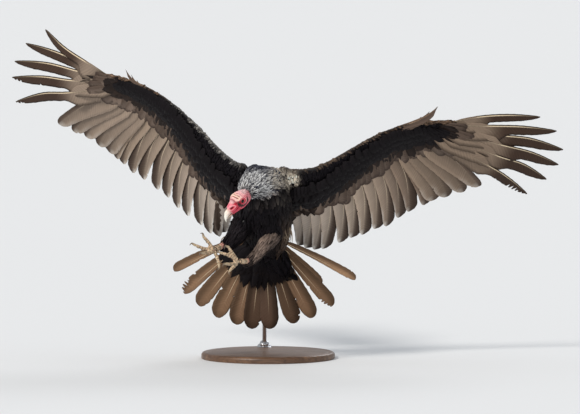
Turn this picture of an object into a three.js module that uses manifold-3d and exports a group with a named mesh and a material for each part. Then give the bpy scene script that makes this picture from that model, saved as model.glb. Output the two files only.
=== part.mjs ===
// A turkey vulture alighting with its wings raised and its tail fanned, on a display stand.
//
// Millimetres, +Z up. The origin is the middle of the stand base's underside. The bird flies towards
// -Y and a little towards -X, pitched up to brake, with its left wing on the +X side. Body, arms and
// legs are lofts along curves, feathers are thin plates laid out by loops along the wing and the tail,
// and neighbouring pieces are cut back from each other by a small gap.

import * as THREE from "three";
import { ParametricGeometry } from "three/addons/geometries/ParametricGeometry.js";
import { mergeVertices } from "three/addons/utils/BufferGeometryUtils.js";
import Module from "manifold-3d";

const wasm = await Module();
wasm.setup();

// ---------------------------------------------------------------- driving dimensions

const V = (x, y, z) => new THREE.Vector3(x, y, z);

const GAP = 0.4; // between neighbouring pieces
const SMOOTHING = 0.195; // corners that stand out less than this are left out
const QUILL_THICKNESS = 2.0; // of a flight feather's plate
const FEATHER_TILT = 0.045; // each flight feather is turned a little, so that neighbours lap like slats

// Main lines of the body, as seen with the bird pitched up about 50 degrees.
const BODY_SIDE = V(0.969, -0.208, -0.139); // towards the bird's left
const TAIL_DORSAL = V(0.25, 0.82, 0.51);
const TAIL_ROOT = V(-11, -60, 345);
const TAIL_ROOT_HALF_WIDTH = 24;

const TRUNK = [
  { at: V(-27, -212, 530), across: 40, deep: 38 },
  { at: V(-19, -192, 497), across: 66, deep: 58 },
  { at: V(-12, -170, 455), across: 79, deep: 68 },
  { at: V(-8, -142, 408), across: 79, deep: 68 },
  { at: V(-4, -112, 360), across: 70, deep: 56 },
  { at: V(-3, -84, 322), across: 57, deep: 40 },
  { at: V(-9, -60, 290), across: 34, deep: 24 },
];
const NECK = [
  { at: V(-16, -185, 498), across: 54, deep: 46 },
  { at: V(-18, -222, 503), across: 57, deep: 45 },
  { at: V(-36, -257, 500), across: 47, deep: 40 },
  { at: V(-50, -286, 490), across: 37, deep: 33 },
  { at: V(-59, -307, 477), across: 28, deep: 26 },
];
const TAIL_BASE = [
  { at: V(-9, -78, 352), across: 42, deep: 30 },
  { at: V(-10, -62, 326), across: 56, deep: 32 },
  { at: V(-12, -38, 290), across: 76, deep: 24 },
  { at: V(-13, -12, 252), across: 86, deep: 15 },
  { at: V(-12, 10, 222), across: 73, deep: 8 },
];

// The head's own frame: x towards the bill tip, y towards the bird's left, z up from the throat.
const HEAD_AT = V(-80, -331, 456);
const HEAD_FORWARD = V(-0.67, -0.42, -0.61);
const HEAD_UP = V(-0.507, -0.343, 0.791);
const SKULL = [
  { x: -41, half: 9, top: 8, bottom: -12 },
  { x: -33, half: 15.5, top: 16, bottom: -18 },
  { x: -20, half: 19.5, top: 23, bottom: -21 },
  { x: -5, half: 20, top: 27, bottom: -22 },
  { x: 8, half: 17.5, top: 24.5, bottom: -20.5 },
  { x: 20, half: 12.5, top: 17, bottom: -18.5 },
  { x: 31, half: 9.5, top: 11, bottom: -16.5 },
  { x: 40, half: 7.5, top: 8, bottom: -14.5 },
];
const BILL_UPPER = [
  { x: 37, half: 7.3, top: 8.5, bottom: -8.5 },
  { x: 46, half: 7.2, top: 7.5, bottom: -9.5 },
  { x: 54, half: 6, top: 2.5, bottom: -11 },
  { x: 60, half: 4.4, top: -4.5, bottom: -14.5 },
  { x: 62.5, half: 2.4, top: -12, bottom: -19 },
];
const BILL_LOWER = [
  { x: 36, half: 6, top: -9.8, bottom: -15.5 },
  { x: 46, half: 5.4, top: -10.6, bottom: -15 },
  { x: 56, half: 3.4, top: -12.2, bottom: -15.6 },
];
const EYE = { x: -4, y: 15.8, z: 2.4, radius: 6.2 };
const NOSTRIL = { x: 29, z: 4, length: 11, height: 5.6 };

// Wings. lead is the leading edge; half is half the chord of the fleshy and small-feathered part.
const WING_LEFT = {
  name: "wing_left",
  outward: 1,
  dorsal: V(-0.15, 0.73, 0.67),
  chord: V(0.12, 0.69, -0.715),
  arm: [
    { lead: V(0, -176, 539), half: 74, thick: 34 },
    { lead: V(58, -183, 538), half: 77, thick: 26 },
    { lead: V(135, -190, 549), half: 76, thick: 20 },
    { lead: V(210, -191, 588), half: 71, thick: 16 },
    { lead: V(285, -191, 630), half: 62, thick: 13 },
    { lead: V(348, -188, 657), half: 52, thick: 11 },
    { lead: V(412, -176, 668), half: 41, thick: 8 },
    { lead: V(468, -160, 671), half: 26, thick: 6 },
    { lead: V(516, -147, 672), half: 8, thick: 3.5 },
  ],
  elbow: 0.36,
  wrist: 0.64,
  alula: { root: V(350, -182, 652), tip: V(465, -180, 708) },
  secondaryTips: [
    V(72, 24, 314), V(150, 33, 301), V(232, 37, 330), V(321, 41, 363), V(391, 43, 405), V(440, 43, 425),
  ],
  primaryTips: [
    V(471, 42, 438), V(504, 40, 449), V(546, 38, 460), V(590, 35, 476), V(717, 30, 454),
    V(770, 10, 496), V(802, -15, 538), V(814, -40, 581), V(795, -65, 634), V(749, -90, 674),
  ],
};
const WING_RIGHT = {
  name: "wing_right",
  outward: -1,
  dorsal: V(0.42, 0.72, 0.55),
  chord: V(-0.12, 0.64, -0.76),
  arm: [
    { lead: V(-30, -172, 541), half: 74, thick: 34 },
    { lead: V(-82, -167, 555), half: 77, thick: 26 },
    { lead: V(-140, -143, 602), half: 76, thick: 20 },
    { lead: V(-198, -110, 662), half: 71, thick: 16 },
    { lead: V(-256, -77, 713), half: 62, thick: 13 },
    { lead: V(-312, -46, 749), half: 52, thick: 11 },
    { lead: V(-366, -24, 773), half: 41, thick: 8 },
    { lead: V(-412, -6, 786), half: 26, thick: 6 },
    { lead: V(-446, 8, 795), half: 8, thick: 3.5 },
  ],
  elbow: 0.36,
  wrist: 0.66,
  alula: { root: V(-314, -42, 746), tip: V(-393, -15, 801) },
  secondaryTips: [
    V(-128, 32, 333), V(-189, 60, 360), V(-244, 95, 408), V(-309, 135, 461), V(-376, 170, 511),
    V(-419, 190, 543),
  ],
  primaryTips: [
    V(-447, 198, 566), V(-478, 208, 587), V(-514, 220, 605), V(-552, 235, 620), V(-589, 250, 638),
    V(-707, 270, 696), V(-717, 262, 765), V(-709, 245, 811), V(-677, 222, 862), V(-621, 190, 902),
  ],
};
const SECONDARIES = 14;
const SECONDARY_WIDTH = 54;
const PRIMARY_WIDTH = 58; // of the unslotted part
const FINGER_WIDTHS = [50, 50, 46, 46, 40, 34]; // past the notch, from the fifth primary outwards
const FIRST_FINGER = 4; // index of the fifth primary
const FINGER_NOTCH = 0.52; // how far along a feather its vane narrows

// Tail feathers from the bird's right to its left. The second from the left is still short.
const TAIL_TIPS = [
  V(-261, 50, 238), V(-233, 68, 174), V(-191, 80, 138), V(-141, 88, 105), V(-88, 94, 85), V(-46, 97, 73),
  V(4, 96, 73), V(71, 75, 90), V(121, 55, 107), V(176, 20, 142), V(146, -15, 206), V(241, -50, 222),
];
const TAIL_WIDTHS = [26, 36, 44, 46, 47, 48, 48, 47, 46, 42, 30, 28];

const LEGS = [
  {
    name: "left",
    thigh: [
      { at: V(32, -118, 398), across: 44, deep: 38 },
      { at: V(14, -158, 356), across: 38, deep: 32 },
      { at: V(-16, -188, 316), across: 31, deep: 23 },
      { at: V(-42, -210, 288), across: 20, deep: 14 },
      { at: V(-57, -222, 272), across: 8, deep: 7 },
    ],
    shank: [V(-40, -208, 293), V(-53, -222, 287), V(-80, -274, 290)],
    toes: [
      {
        knuckle: V(-97, -287, 313), end: V(-108, -296, 331),
        claw: [V(-116, -301, 335), V(-119, -304, 322)],
      },
      {
        knuckle: V(-104, -290, 306), end: V(-126, -301, 315),
        claw: [V(-137, -304, 318), V(-142, -304, 305)],
      },
      {
        knuckle: V(-98, -300, 284), end: V(-113, -324, 287),
        claw: [V(-121, -333, 287), V(-123, -335, 275)],
      },
      {
        knuckle: V(-92, -277, 277), end: V(-102, -276, 267),
        claw: [V(-107, -277, 260), V(-103, -279, 250)],
      },
    ],
  },
  {
    name: "right",
    thigh: [
      { at: V(-52, -112, 402), across: 48, deep: 40 },
      { at: V(-72, -148, 372), across: 51, deep: 36 },
      { at: V(-96, -174, 342), across: 45, deep: 26 },
      { at: V(-112, -193, 322), across: 31, deep: 17 },
      { at: V(-121, -202, 311), across: 14, deep: 9 },
    ],
    shank: [V(-116, -196, 336), V(-126, -210, 327), V(-147, -262, 321)],
    toes: [
      {
        knuckle: V(-163, -273, 343), end: V(-175, -281, 358),
        claw: [V(-178, -285, 368), V(-187, -288, 367)],
      },
      {
        knuckle: V(-175, -277, 325), end: V(-199, -288, 336),
        claw: [V(-208, -291, 341), V(-215, -291, 333)],
      },
      {
        knuckle: V(-162, -290, 314), end: V(-176, -312, 316),
        claw: [V(-184, -321, 317), V(-187, -323, 305)],
      },
      {
        knuckle: V(-139, -271, 301), end: V(-133, -278, 281),
        claw: [V(-133, -281, 271), V(-139, -280, 264)],
      },
    ],
  },
];
const SHANK_RADIUS = 6.6;
const TOE_RADIUS = 5.4;
const CLAW_RADIUS = 3.6;

const STAND = { baseRadius: 185, baseHeight: 18, edge: 5, rodRadius: 6, collarRadius: 20, collarHeight: 14 };
const ROD_FOOT = V(-11, 150, STAND.baseHeight);
const ROD_TOP = V(-9, -72, 440);

const COLOURS = {
  plumage: 0x17130f, quills: 0x6b5a48, skin: 0xb3323f, bill: 0xe9ddc6, eye: 0x241a16, scales: 0xc9ac86,
  claws: 0x3a3029, stand: 0x3b2a1d, steel: 0x8d9094,
};

// ---------------------------------------------------------------- solids

// Turns a closed geometry into a solid that faces out. Faces that a pole squeezed flat are dropped.
function solidOf(geometry) {
  const bare = new THREE.BufferGeometry();
  bare.setAttribute("position", geometry.getAttribute("position"));
  if (geometry.index) bare.setIndex(geometry.index);
  const merged = mergeVertices(bare, 1e-4);
  const corners = [...merged.index.array];
  const kept = [];
  for (let i = 0; i < corners.length; i += 3) {
    const [a, b, c] = corners.slice(i, i + 3);
    if (a !== b && b !== c && c !== a) kept.push(a, b, c);
  }
  const make = (triangles) =>
    new wasm.Manifold(
      new wasm.Mesh({
        numProp: 3,
        vertProperties: new Float32Array(merged.attributes.position.array),
        triVerts: new Uint32Array(triangles),
      }),
    );
  const made = make(kept);
  return made.volume() > 0 ? made : make(kept.reverse());
}

function geometryOf(solid) {
  const { vertProperties, triVerts } = solid.getMesh();
  const geometry = new THREE.BufferGeometry();
  geometry.setAttribute("position", new THREE.BufferAttribute(new Float32Array(vertProperties), 3));
  geometry.setIndex(new THREE.BufferAttribute(new Uint32Array(triVerts), 1));
  geometry.computeVertexNormals();
  return geometry;
}

const joined = (solids) => solids.reduce((whole, piece) => whole.add(piece));

const without = (solid, ...cutters) => cutters.reduce((left, cutter) => left.subtract(cutter), solid);

// Of a solid in several bodies, the one with the most volume.
function largest(solid) {
  return solid.decompose().reduce((best, body) => (body.volume() > best.volume() ? body : best));
}

// The two sides of a solid, either side of a plane, half a gap back from it each.
function partedAt(solid, point, direction) {
  const normal = direction.clone().normalize();
  const along = point.dot(normal);
  const towards = solid.trimByPlane(normal.toArray(), along + GAP / 2);
  const behind = solid.trimByPlane(normal.clone().negate().toArray(), -along + GAP / 2);
  return [behind, towards];
}

// ---------------------------------------------------------------- lofts

// A smooth value between those of a list, as a Catmull-Rom spline would give it.
function smoothValue(values, t) {
  const line = new THREE.SplineCurve(values.map((value, i) => new THREE.Vector2(i, value)));
  return line.getPoint(t).y;
}

// Turns v, from 0 to 1, into a place along a loft and the share of its radius there, with round ends.
function roundEnds(v, rounding) {
  const place = (1 - Math.cos(Math.PI * v)) / 2;
  const t = 0.5 * place + 0.5 * v;
  const nearest = Math.min(t, 1 - t);
  const share = nearest >= rounding ? 1 : Math.sqrt(1 - (1 - nearest / rounding) ** 2);
  return { t, share };
}

// An elliptical loft along the stations' centres. side is the direction of a section's across radius.
function loft(stations, { side, sides = 14, rows = 10, grow = 0, rounding = 0.16 }) {
  const spine = new THREE.CatmullRomCurve3(stations.map((s) => s.at));
  const across = stations.map((s) => s.across);
  const deep = stations.map((s) => s.deep);
  const shape = (u, v, target) => {
    const { t, share } = roundEnds(v, rounding);
    const tangent = spine.getTangent(t);
    const flat = side.clone().addScaledVector(tangent, -side.dot(tangent)).normalize();
    const thick = new THREE.Vector3().crossVectors(tangent, flat);
    const angle = 2 * Math.PI * u;
    target
      .copy(spine.getPoint(t))
      .addScaledVector(tangent, (v < 0.5 ? -1 : 1) * grow)
      .addScaledVector(flat, Math.cos(angle) * (smoothValue(across, t) + grow) * share)
      .addScaledVector(thick, Math.sin(angle) * (smoothValue(deep, t) + grow) * share);
  };
  return solidOf(new ParametricGeometry(shape, sides, rows));
}

// A round tube through points, with a radius for each of them.
function limb(points, radii, { sides = 8, rows = 7, grow = 0, rounding = 0.12 } = {}) {
  const stations = points.map((at, i) => ({ at, across: radii[i], deep: radii[i] }));
  return loft(stations, { side: V(0.35, 0.2, 0.9), sides, rows, grow, rounding });
}

// ---------------------------------------------------------------- feathers

// A flight feather as a thin plate: widths is a list of [place along the feather, share of the width].
// fan points along the fan's surface towards the feathers in front of this one.
function vane({ root, tip, width, fan, outer, dorsal, bend, widths }) {
  const along = new THREE.Vector3().subVectors(tip, root);
  const length = along.length();
  along.normalize();
  const front = fan.clone().addScaledVector(along, -fan.dot(along)).normalize();
  const normal = new THREE.Vector3().crossVectors(along, front);
  if (normal.dot(dorsal) < 0) normal.negate();
  const up = normal.clone().addScaledVector(front, -FEATHER_TILT).normalize();
  const flat = front.clone().addScaledVector(normal, FEATHER_TILT).normalize();
  const middle = root.clone().lerp(tip, 0.55).addScaledVector(normal, -bend * length);
  const shaft = new THREE.QuadraticBezierCurve3(root, middle, tip);
  const corners = [[outer, 0.5], [outer - 1, 0.5], [outer - 1, -0.5], [outer, -0.5]];
  const shape = (u, v, target) => {
    const [place, share] = widths[Math.round(v * (widths.length - 1))];
    const [aside, above] = corners[Math.round(u * 4) % 4];
    target
      .copy(shaft.getPoint(place))
      .addScaledVector(flat, aside * width * share)
      .addScaledVector(up, above * QUILL_THICKNESS);
  };
  return cappedTube(new ParametricGeometry(shape, 4, widths.length - 1), widths.length);
}

// The plates of a row of feathers, each with its own root and tip. Each lies in the row's surface.
function rowOfVanes(feathers, common) {
  const middles = feathers.map(({ root, tip }) => root.clone().lerp(tip, 0.5));
  return feathers.map((feather, i) => {
    const fan = middles[Math.min(i + 1, middles.length - 1)].clone().sub(middles[Math.max(i - 1, 0)]);
    return vane({ fan, ...common, ...feather });
  });
}

// Closes the two four-cornered ends of a plate that ParametricGeometry leaves open.
function cappedTube(geometry, rings) {
  const faces = [...geometry.index.array];
  const last = (rings - 1) * 5;
  faces.push(0, 2, 1, 0, 3, 2, last, last + 1, last + 2, last, last + 2, last + 3);
  const turned = geometry.clone();
  turned.setIndex(faces);
  return solidOf(turned);
}

const ROUND_TIP = [[0, 0.3], [0.3, 0.95], [0.86, 1], [0.96, 0.7], [1, 0.25]];
const fingerWidths = (share) => [
  [0, 0.25], [0.24, 0.95], [FINGER_NOTCH - 0.05, 1], [FINGER_NOTCH + 0.05, share], [0.82, share * 0.88],
  [0.94, share * 0.5], [1, share * 0.12],
];

// The arm of a wing, from inside the shoulder to the end of the hand, whole.
function wholeArm(wing, grow = 0) {
  const stations = wing.arm.map(({ lead, half, thick }) => ({
    at: lead.clone().addScaledVector(wing.chord, half),
    across: half,
    deep: thick,
  }));
  return loft(stations, { side: wing.chord, sides: 12, rows: 16, grow, rounding: 0.1 });
}

// The line on which the quills stand, a little behind the middle of the arm.
function quillLine(wing) {
  return new THREE.CatmullRomCurve3(
    wing.arm.map(({ lead, half }) => lead.clone().addScaledVector(wing.chord, half * 0.95)),
  );
}

function secondaries(wing) {
  const roots = quillLine(wing);
  const tips = new THREE.CatmullRomCurve3(wing.secondaryTips);
  const feathers = Array.from({ length: SECONDARIES }, (_, i) => {
    const share = i / (SECONDARIES - 1);
    return {
      root: roots.getPoint(THREE.MathUtils.lerp(wing.elbow - 0.2, wing.wrist - 0.02, share)),
      tip: tips.getPoint(share),
    };
  });
  const common = { width: SECONDARY_WIDTH, outer: 0.42, dorsal: wing.dorsal, bend: 0.05, widths: ROUND_TIP };
  return rowOfVanes(feathers, common);
}

function primaries(wing) {
  const roots = quillLine(wing);
  const feathers = wing.primaryTips.map((tip, i) => {
    const finger = i >= FIRST_FINGER;
    return {
      root: roots.getPoint(THREE.MathUtils.lerp(wing.wrist, 0.93, i / 9)),
      tip,
      outer: finger ? 0.3 : 0.38,
      bend: finger ? 0.07 : 0.05,
      widths: finger ? fingerWidths(FINGER_WIDTHS[i - FIRST_FINGER] / PRIMARY_WIDTH) : ROUND_TIP,
    };
  });
  return rowOfVanes(feathers, { width: PRIMARY_WIDTH, dorsal: wing.dorsal });
}

function tailFeathers() {
  const feathers = TAIL_TIPS.map((tip, i) => {
    const aside = (2 * i) / (TAIL_TIPS.length - 1) - 1;
    const root = TAIL_ROOT.clone().addScaledVector(BODY_SIDE, aside * TAIL_ROOT_HALF_WIDTH);
    return { root, tip, width: TAIL_WIDTHS[i], outer: 0.5 + 0.2 * aside };
  });
  return rowOfVanes(feathers, { dorsal: TAIL_DORSAL, bend: 0.03, widths: ROUND_TIP });
}

// ---------------------------------------------------------------- head

const headFrame = new THREE.Matrix4();
{
  const forward = HEAD_FORWARD.clone().normalize();
  const left = new THREE.Vector3().crossVectors(HEAD_UP, forward).normalize();
  const up = new THREE.Vector3().crossVectors(forward, left);
  headFrame.makeBasis(forward, left, up).setPosition(HEAD_AT);
}
const onHead = (x, y, z) => V(x, y, z).applyMatrix4(headFrame);
const headLeft = V(0, 1, 0).transformDirection(headFrame);

function headLoft(stations, options) {
  const placed = stations.map(({ x, half, top, bottom }) => ({
    at: onHead(x, 0, (top + bottom) / 2),
    across: half,
    deep: (top - bottom) / 2,
  }));
  return loft(placed, { side: headLeft, ...options });
}

const skull = (grow = 0) => headLoft(SKULL, { sides: 14, rows: 12, grow, rounding: 0.14 });
const billUpper = (grow = 0) => headLoft(BILL_UPPER, { sides: 10, rows: 8, grow, rounding: 0.1 });
const billLower = () => headLoft(BILL_LOWER, { sides: 8, rows: 6, rounding: 0.1 });

function eye(side, grow = 0) {
  const ball = new THREE.SphereGeometry(EYE.radius + grow, 10, 7);
  const at = onHead(EYE.x, side * EYE.y, EYE.z);
  return solidOf(ball.translate(at.x, at.y, at.z));
}

// The nostrils of this bird open into each other, right through the bill's base.
function nostril() {
  const hole = new THREE.SphereGeometry(1, 10, 8);
  hole.scale(NOSTRIL.length / 2, 30, NOSTRIL.height / 2).translate(NOSTRIL.x, 0, NOSTRIL.z);
  return solidOf(hole.applyMatrix4(headFrame));
}

// ---------------------------------------------------------------- the pieces

const bird = new THREE.Group();

function addPiece(name, solid, colour, roughness = 0.85, metalness = 0) {
  const material = new THREE.MeshStandardMaterial({ color: COLOURS[colour], roughness, metalness });
  const mesh = new THREE.Mesh(geometryOf(largest(solid).asOriginal().simplify(SMOOTHING)), material);
  mesh.name = name;
  bird.add(mesh);
}

function buildTrunkNeckAndHead() {
  const trunk = (grow = 0) => loft(TRUNK, { side: BODY_SIDE, sides: 16, rows: 12, grow });
  const neck = (grow = 0) => loft(NECK, { side: BODY_SIDE, sides: 12, rows: 9, grow, rounding: 0.1 });
  const eyeHoles = [1, -1].map((side) => eye(side, GAP));
  addPiece("trunk", trunk(), "plumage");
  addPiece("neck", without(neck(), trunk(GAP), skull(GAP)), "plumage");
  addPiece("head", without(skull(), ...eyeHoles, nostril()), "skin", 0.5);
  addPiece("bill_upper", without(billUpper(), skull(GAP)), "bill", 0.35);
  addPiece("bill_lower", without(billLower(), skull(GAP), billUpper(GAP)), "bill", 0.35);
  addPiece("eye_left", eye(1), "eye", 0.1);
  addPiece("eye_right", eye(-1), "eye", 0.1);
  return { trunk: trunk(GAP), neck: neck(GAP) };
}

function buildWing(wing, near) {
  const arm = without(wholeArm(wing), near.trunk, near.neck);
  const armCutter = joined([wholeArm(wing, GAP), near.trunk]);
  const line = quillLine(wing);
  const [upperArm, beyondElbow] = partedAt(arm, line.getPoint(wing.elbow), line.getTangent(wing.elbow));
  const [forearm, hand] = partedAt(beyondElbow, line.getPoint(wing.wrist), line.getTangent(wing.wrist));
  addPiece(`${wing.name}_upper_arm`, upperArm, "plumage");
  addPiece(`${wing.name}_forearm`, forearm, "plumage");
  addPiece(`${wing.name}_hand`, hand, "plumage");

  const quills = without(joined([...secondaries(wing), ...primaries(wing)]), armCutter);
  const lastSecondary = wing.secondaryTips.at(-1);
  const between = lastSecondary.clone().lerp(wing.primaryTips[0], 0.5);
  const seam = between.clone().sub(line.getPoint(wing.wrist));
  const across = new THREE.Vector3().crossVectors(seam, wing.dorsal).multiplyScalar(wing.outward);
  const [inside, outside] = partedAt(quills, between, across);
  addPiece(`${wing.name}_secondaries`, inside, "quills", 0.6);
  addPiece(`${wing.name}_primaries`, outside, "quills", 0.6);

  const alula = vane({
    root: wing.alula.root, tip: wing.alula.tip, width: 26, fan: wing.chord.clone().negate(), outer: 0.35,
    dorsal: wing.dorsal, bend: 0.03, widths: [[0, 0.7], [0.4, 1], [0.8, 0.5], [1, 0.1]],
  });
  addPiece(`${wing.name}_alula`, without(alula, armCutter), "quills", 0.6);
}

function tailBase(grow = 0) {
  return loft(TAIL_BASE, { side: BODY_SIDE, sides: 12, rows: 8, grow, rounding: 0.12 });
}

function buildTail(near) {
  addPiece("tail_coverts", without(tailBase(), near.trunk), "plumage");
  addPiece("tail_feathers", without(joined(tailFeathers()), tailBase(GAP), near.trunk), "quills", 0.6);
}

function buildLeg(leg, near) {
  const thigh = (grow = 0) => loft(leg.thigh, { side: V(0.6, 0.1, 0.75), sides: 12, rows: 9, grow });
  const shank = (grow = 0) =>
    limb(leg.shank, [7, 8.2, SHANK_RADIUS + 1], { rows: 7, grow, rounding: 0.1 });
  const foot = leg.shank.at(-1);
  addPiece(`leg_${leg.name}_thigh`, without(thigh(), near.trunk, tailBase(GAP)), "plumage");
  addPiece(`leg_${leg.name}_shank`, without(shank(), thigh(GAP)), "scales", 0.6);
  const earlier = [shank(GAP)];
  leg.toes.forEach(({ knuckle, end, claw }, i) => {
    const points = [foot.clone().lerp(knuckle, 0.1), knuckle, end];
    const radii = [TOE_RADIUS * 0.9, TOE_RADIUS, TOE_RADIUS * 0.85];
    const toe = (grow = 0) => limb(points, radii, { rows: 7, grow });
    addPiece(`toe_${leg.name}_${i + 1}`, without(toe(), ...earlier), "scales", 0.6);
    const clawLine = [end.clone().lerp(claw[0], -0.15), ...claw];
    const talon = limb(clawLine, [CLAW_RADIUS, CLAW_RADIUS * 0.75, 0.7], { sides: 6, rows: 6 });
    addPiece(`claw_${leg.name}_${i + 1}`, without(talon, toe(GAP)), "claws", 0.4);
    earlier.push(toe(GAP));
  });
}

function buildStand(near) {
  const { baseRadius: r, baseHeight: h, edge } = STAND;
  const bevel = [0, Math.PI / 4, Math.PI / 2].map(
    (a) => new THREE.Vector2(r - edge + edge * Math.cos(a), h - edge + edge * Math.sin(a)),
  );
  const profile = [new THREE.Vector2(0, 0), new THREE.Vector2(r, 0), ...bevel, new THREE.Vector2(0, h)];
  const base = new THREE.LatheGeometry(profile, 48).rotateX(Math.PI / 2);
  addPiece("stand_base", solidOf(base), "stand", 0.45);

  const lean = new THREE.Vector3().subVectors(ROD_TOP, ROD_FOOT);
  const turn = new THREE.Quaternion().setFromUnitVectors(V(0, 1, 0), lean.clone().normalize());
  const rodAt = (radius, from, to, sides) => {
    const bar = new THREE.CylinderGeometry(radius, radius, to - from, sides);
    bar.translate(0, (from + to) / 2, 0).applyQuaternion(turn);
    return solidOf(bar.translate(ROD_FOOT.x, ROD_FOOT.y, ROD_FOOT.z));
  };
  const aboveBase = (solid) => solid.trimByPlane([0, 0, 1], h + GAP);
  const collar = rodAt(STAND.collarRadius, -20, STAND.collarHeight, 24);
  const rod = rodAt(STAND.rodRadius, -20, lean.length(), 12);
  const rodHole = rodAt(STAND.rodRadius + GAP, -40, lean.length(), 12);
  addPiece("stand_collar", without(aboveBase(collar), rodHole), "steel", 0.35, 0.9);
  addPiece("stand_rod", without(aboveBase(rod), near.trunk), "steel", 0.35, 0.9);
}

const body = buildTrunkNeckAndHead();
[WING_LEFT, WING_RIGHT].forEach((wing) => buildWing(wing, body));
buildTail(body);
LEGS.forEach((leg) => buildLeg(leg, body));
buildStand(body);

export default bird;
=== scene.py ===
import math
from contextlib import contextmanager
from itertools import product

import bpy
import numpy as np
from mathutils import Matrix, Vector
from mathutils.bvhtree import BVHTree


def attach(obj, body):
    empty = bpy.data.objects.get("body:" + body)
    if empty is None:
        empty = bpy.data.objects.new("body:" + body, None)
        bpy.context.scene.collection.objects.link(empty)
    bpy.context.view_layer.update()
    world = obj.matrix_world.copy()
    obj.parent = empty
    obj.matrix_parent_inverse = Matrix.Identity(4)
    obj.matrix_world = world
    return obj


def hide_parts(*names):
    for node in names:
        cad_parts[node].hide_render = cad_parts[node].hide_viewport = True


bl_info = {
    "name": "Alighting Vulture",
    "version": (1, 0, 0),
    "blender": (4, 5, 0),
    "location": "3D View > Sidebar > Vulture",
    "description": "A life-size turkey vulture with spread wings on a display stand",
    "category": "Object",
}

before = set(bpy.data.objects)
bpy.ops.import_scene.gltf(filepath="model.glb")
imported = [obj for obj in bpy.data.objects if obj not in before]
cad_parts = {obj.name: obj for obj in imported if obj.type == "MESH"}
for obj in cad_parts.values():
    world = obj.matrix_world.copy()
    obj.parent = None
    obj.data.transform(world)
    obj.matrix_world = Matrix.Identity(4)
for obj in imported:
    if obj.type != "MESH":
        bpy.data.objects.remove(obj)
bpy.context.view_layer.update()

# ------------------------------------------------------------------ the bird's main lines
# In metres, in the row frame: the bird faces -Y and its left wing is on the +X side.

MM = 0.001


def place(*coordinates):
    return np.array(coordinates, float) * MM


def unit(vector):
    vector = np.asarray(vector, float)
    return vector / np.maximum(np.linalg.norm(vector, axis=-1, keepdims=True), 1e-12)


BODY_SIDE = unit((0.969, -0.208, -0.139))
BODY_FRONT = unit((-0.12, -0.79, -0.60))  # out of the belly
TAIL_DORSAL = unit((0.25, 0.82, 0.51))
TRUNK_LINE = place((-27, -212, 530), (-19, -192, 497), (-12, -170, 455), (-8, -142, 408), (-4, -112, 360),
                   (-3, -84, 322), (-9, -60, 290))
NECK_LINE = place((-61, -312, 473), (-50, -286, 490), (-36, -257, 500), (-18, -222, 503), (-16, -185, 492),
                  (-12, -165, 460))
TAIL_LINE = place((-9, -78, 352), (-10, -62, 326), (-12, -38, 290), (-13, -12, 252), (-12, 10, 222))
THIGH_LINES = {
    "left": place((32, -118, 398), (14, -158, 356), (-16, -188, 316), (-42, -210, 288), (-57, -222, 272)),
    "right": place((-52, -112, 402), (-72, -148, 372), (-96, -174, 342), (-112, -193, 322),
                   (-121, -202, 311)),
}
SHANK_LINES = {
    "left": place((-40, -208, 293), (-53, -222, 287), (-80, -274, 290)),
    "right": place((-116, -196, 336), (-126, -210, 327), (-147, -262, 321)),
}
TOES = {  # knuckle, end, claw's middle, claw's tip
    "left": place(
        ((-97, -287, 313), (-108, -296, 331), (-116, -301, 335), (-119, -304, 322)),
        ((-104, -290, 306), (-126, -301, 315), (-137, -304, 318), (-142, -304, 305)),
        ((-98, -300, 284), (-113, -324, 287), (-121, -333, 287), (-123, -335, 275)),
        ((-92, -277, 277), (-102, -276, 267), (-107, -277, 260), (-103, -279, 250)),
    ),
    "right": place(
        ((-163, -273, 343), (-175, -281, 358), (-178, -285, 368), (-187, -288, 367)),
        ((-175, -277, 325), (-199, -288, 336), (-208, -291, 341), (-215, -291, 333)),
        ((-162, -290, 314), (-176, -312, 316), (-184, -321, 317), (-187, -323, 305)),
        ((-139, -271, 301), (-133, -278, 281), (-133, -281, 271), (-139, -280, 264)),
    ),
}
HEAD_AT = place(-80, -331, 456)
HEAD_FORWARD = unit((-0.67, -0.42, -0.61))
HEAD_LEFT = unit(np.cross((-0.507, -0.343, 0.791), HEAD_FORWARD))
HEAD_UP = np.cross(HEAD_FORWARD, HEAD_LEFT)
HEAD_AXES = np.array((HEAD_FORWARD, HEAD_LEFT, HEAD_UP))
EYE = {"x": -4, "y": 15.8, "z": 2.4, "radius": 6.2}  # on the head's axes
NOSTRIL = {"x": 29, "z": 4, "length": 11, "height": 5.6}

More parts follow.
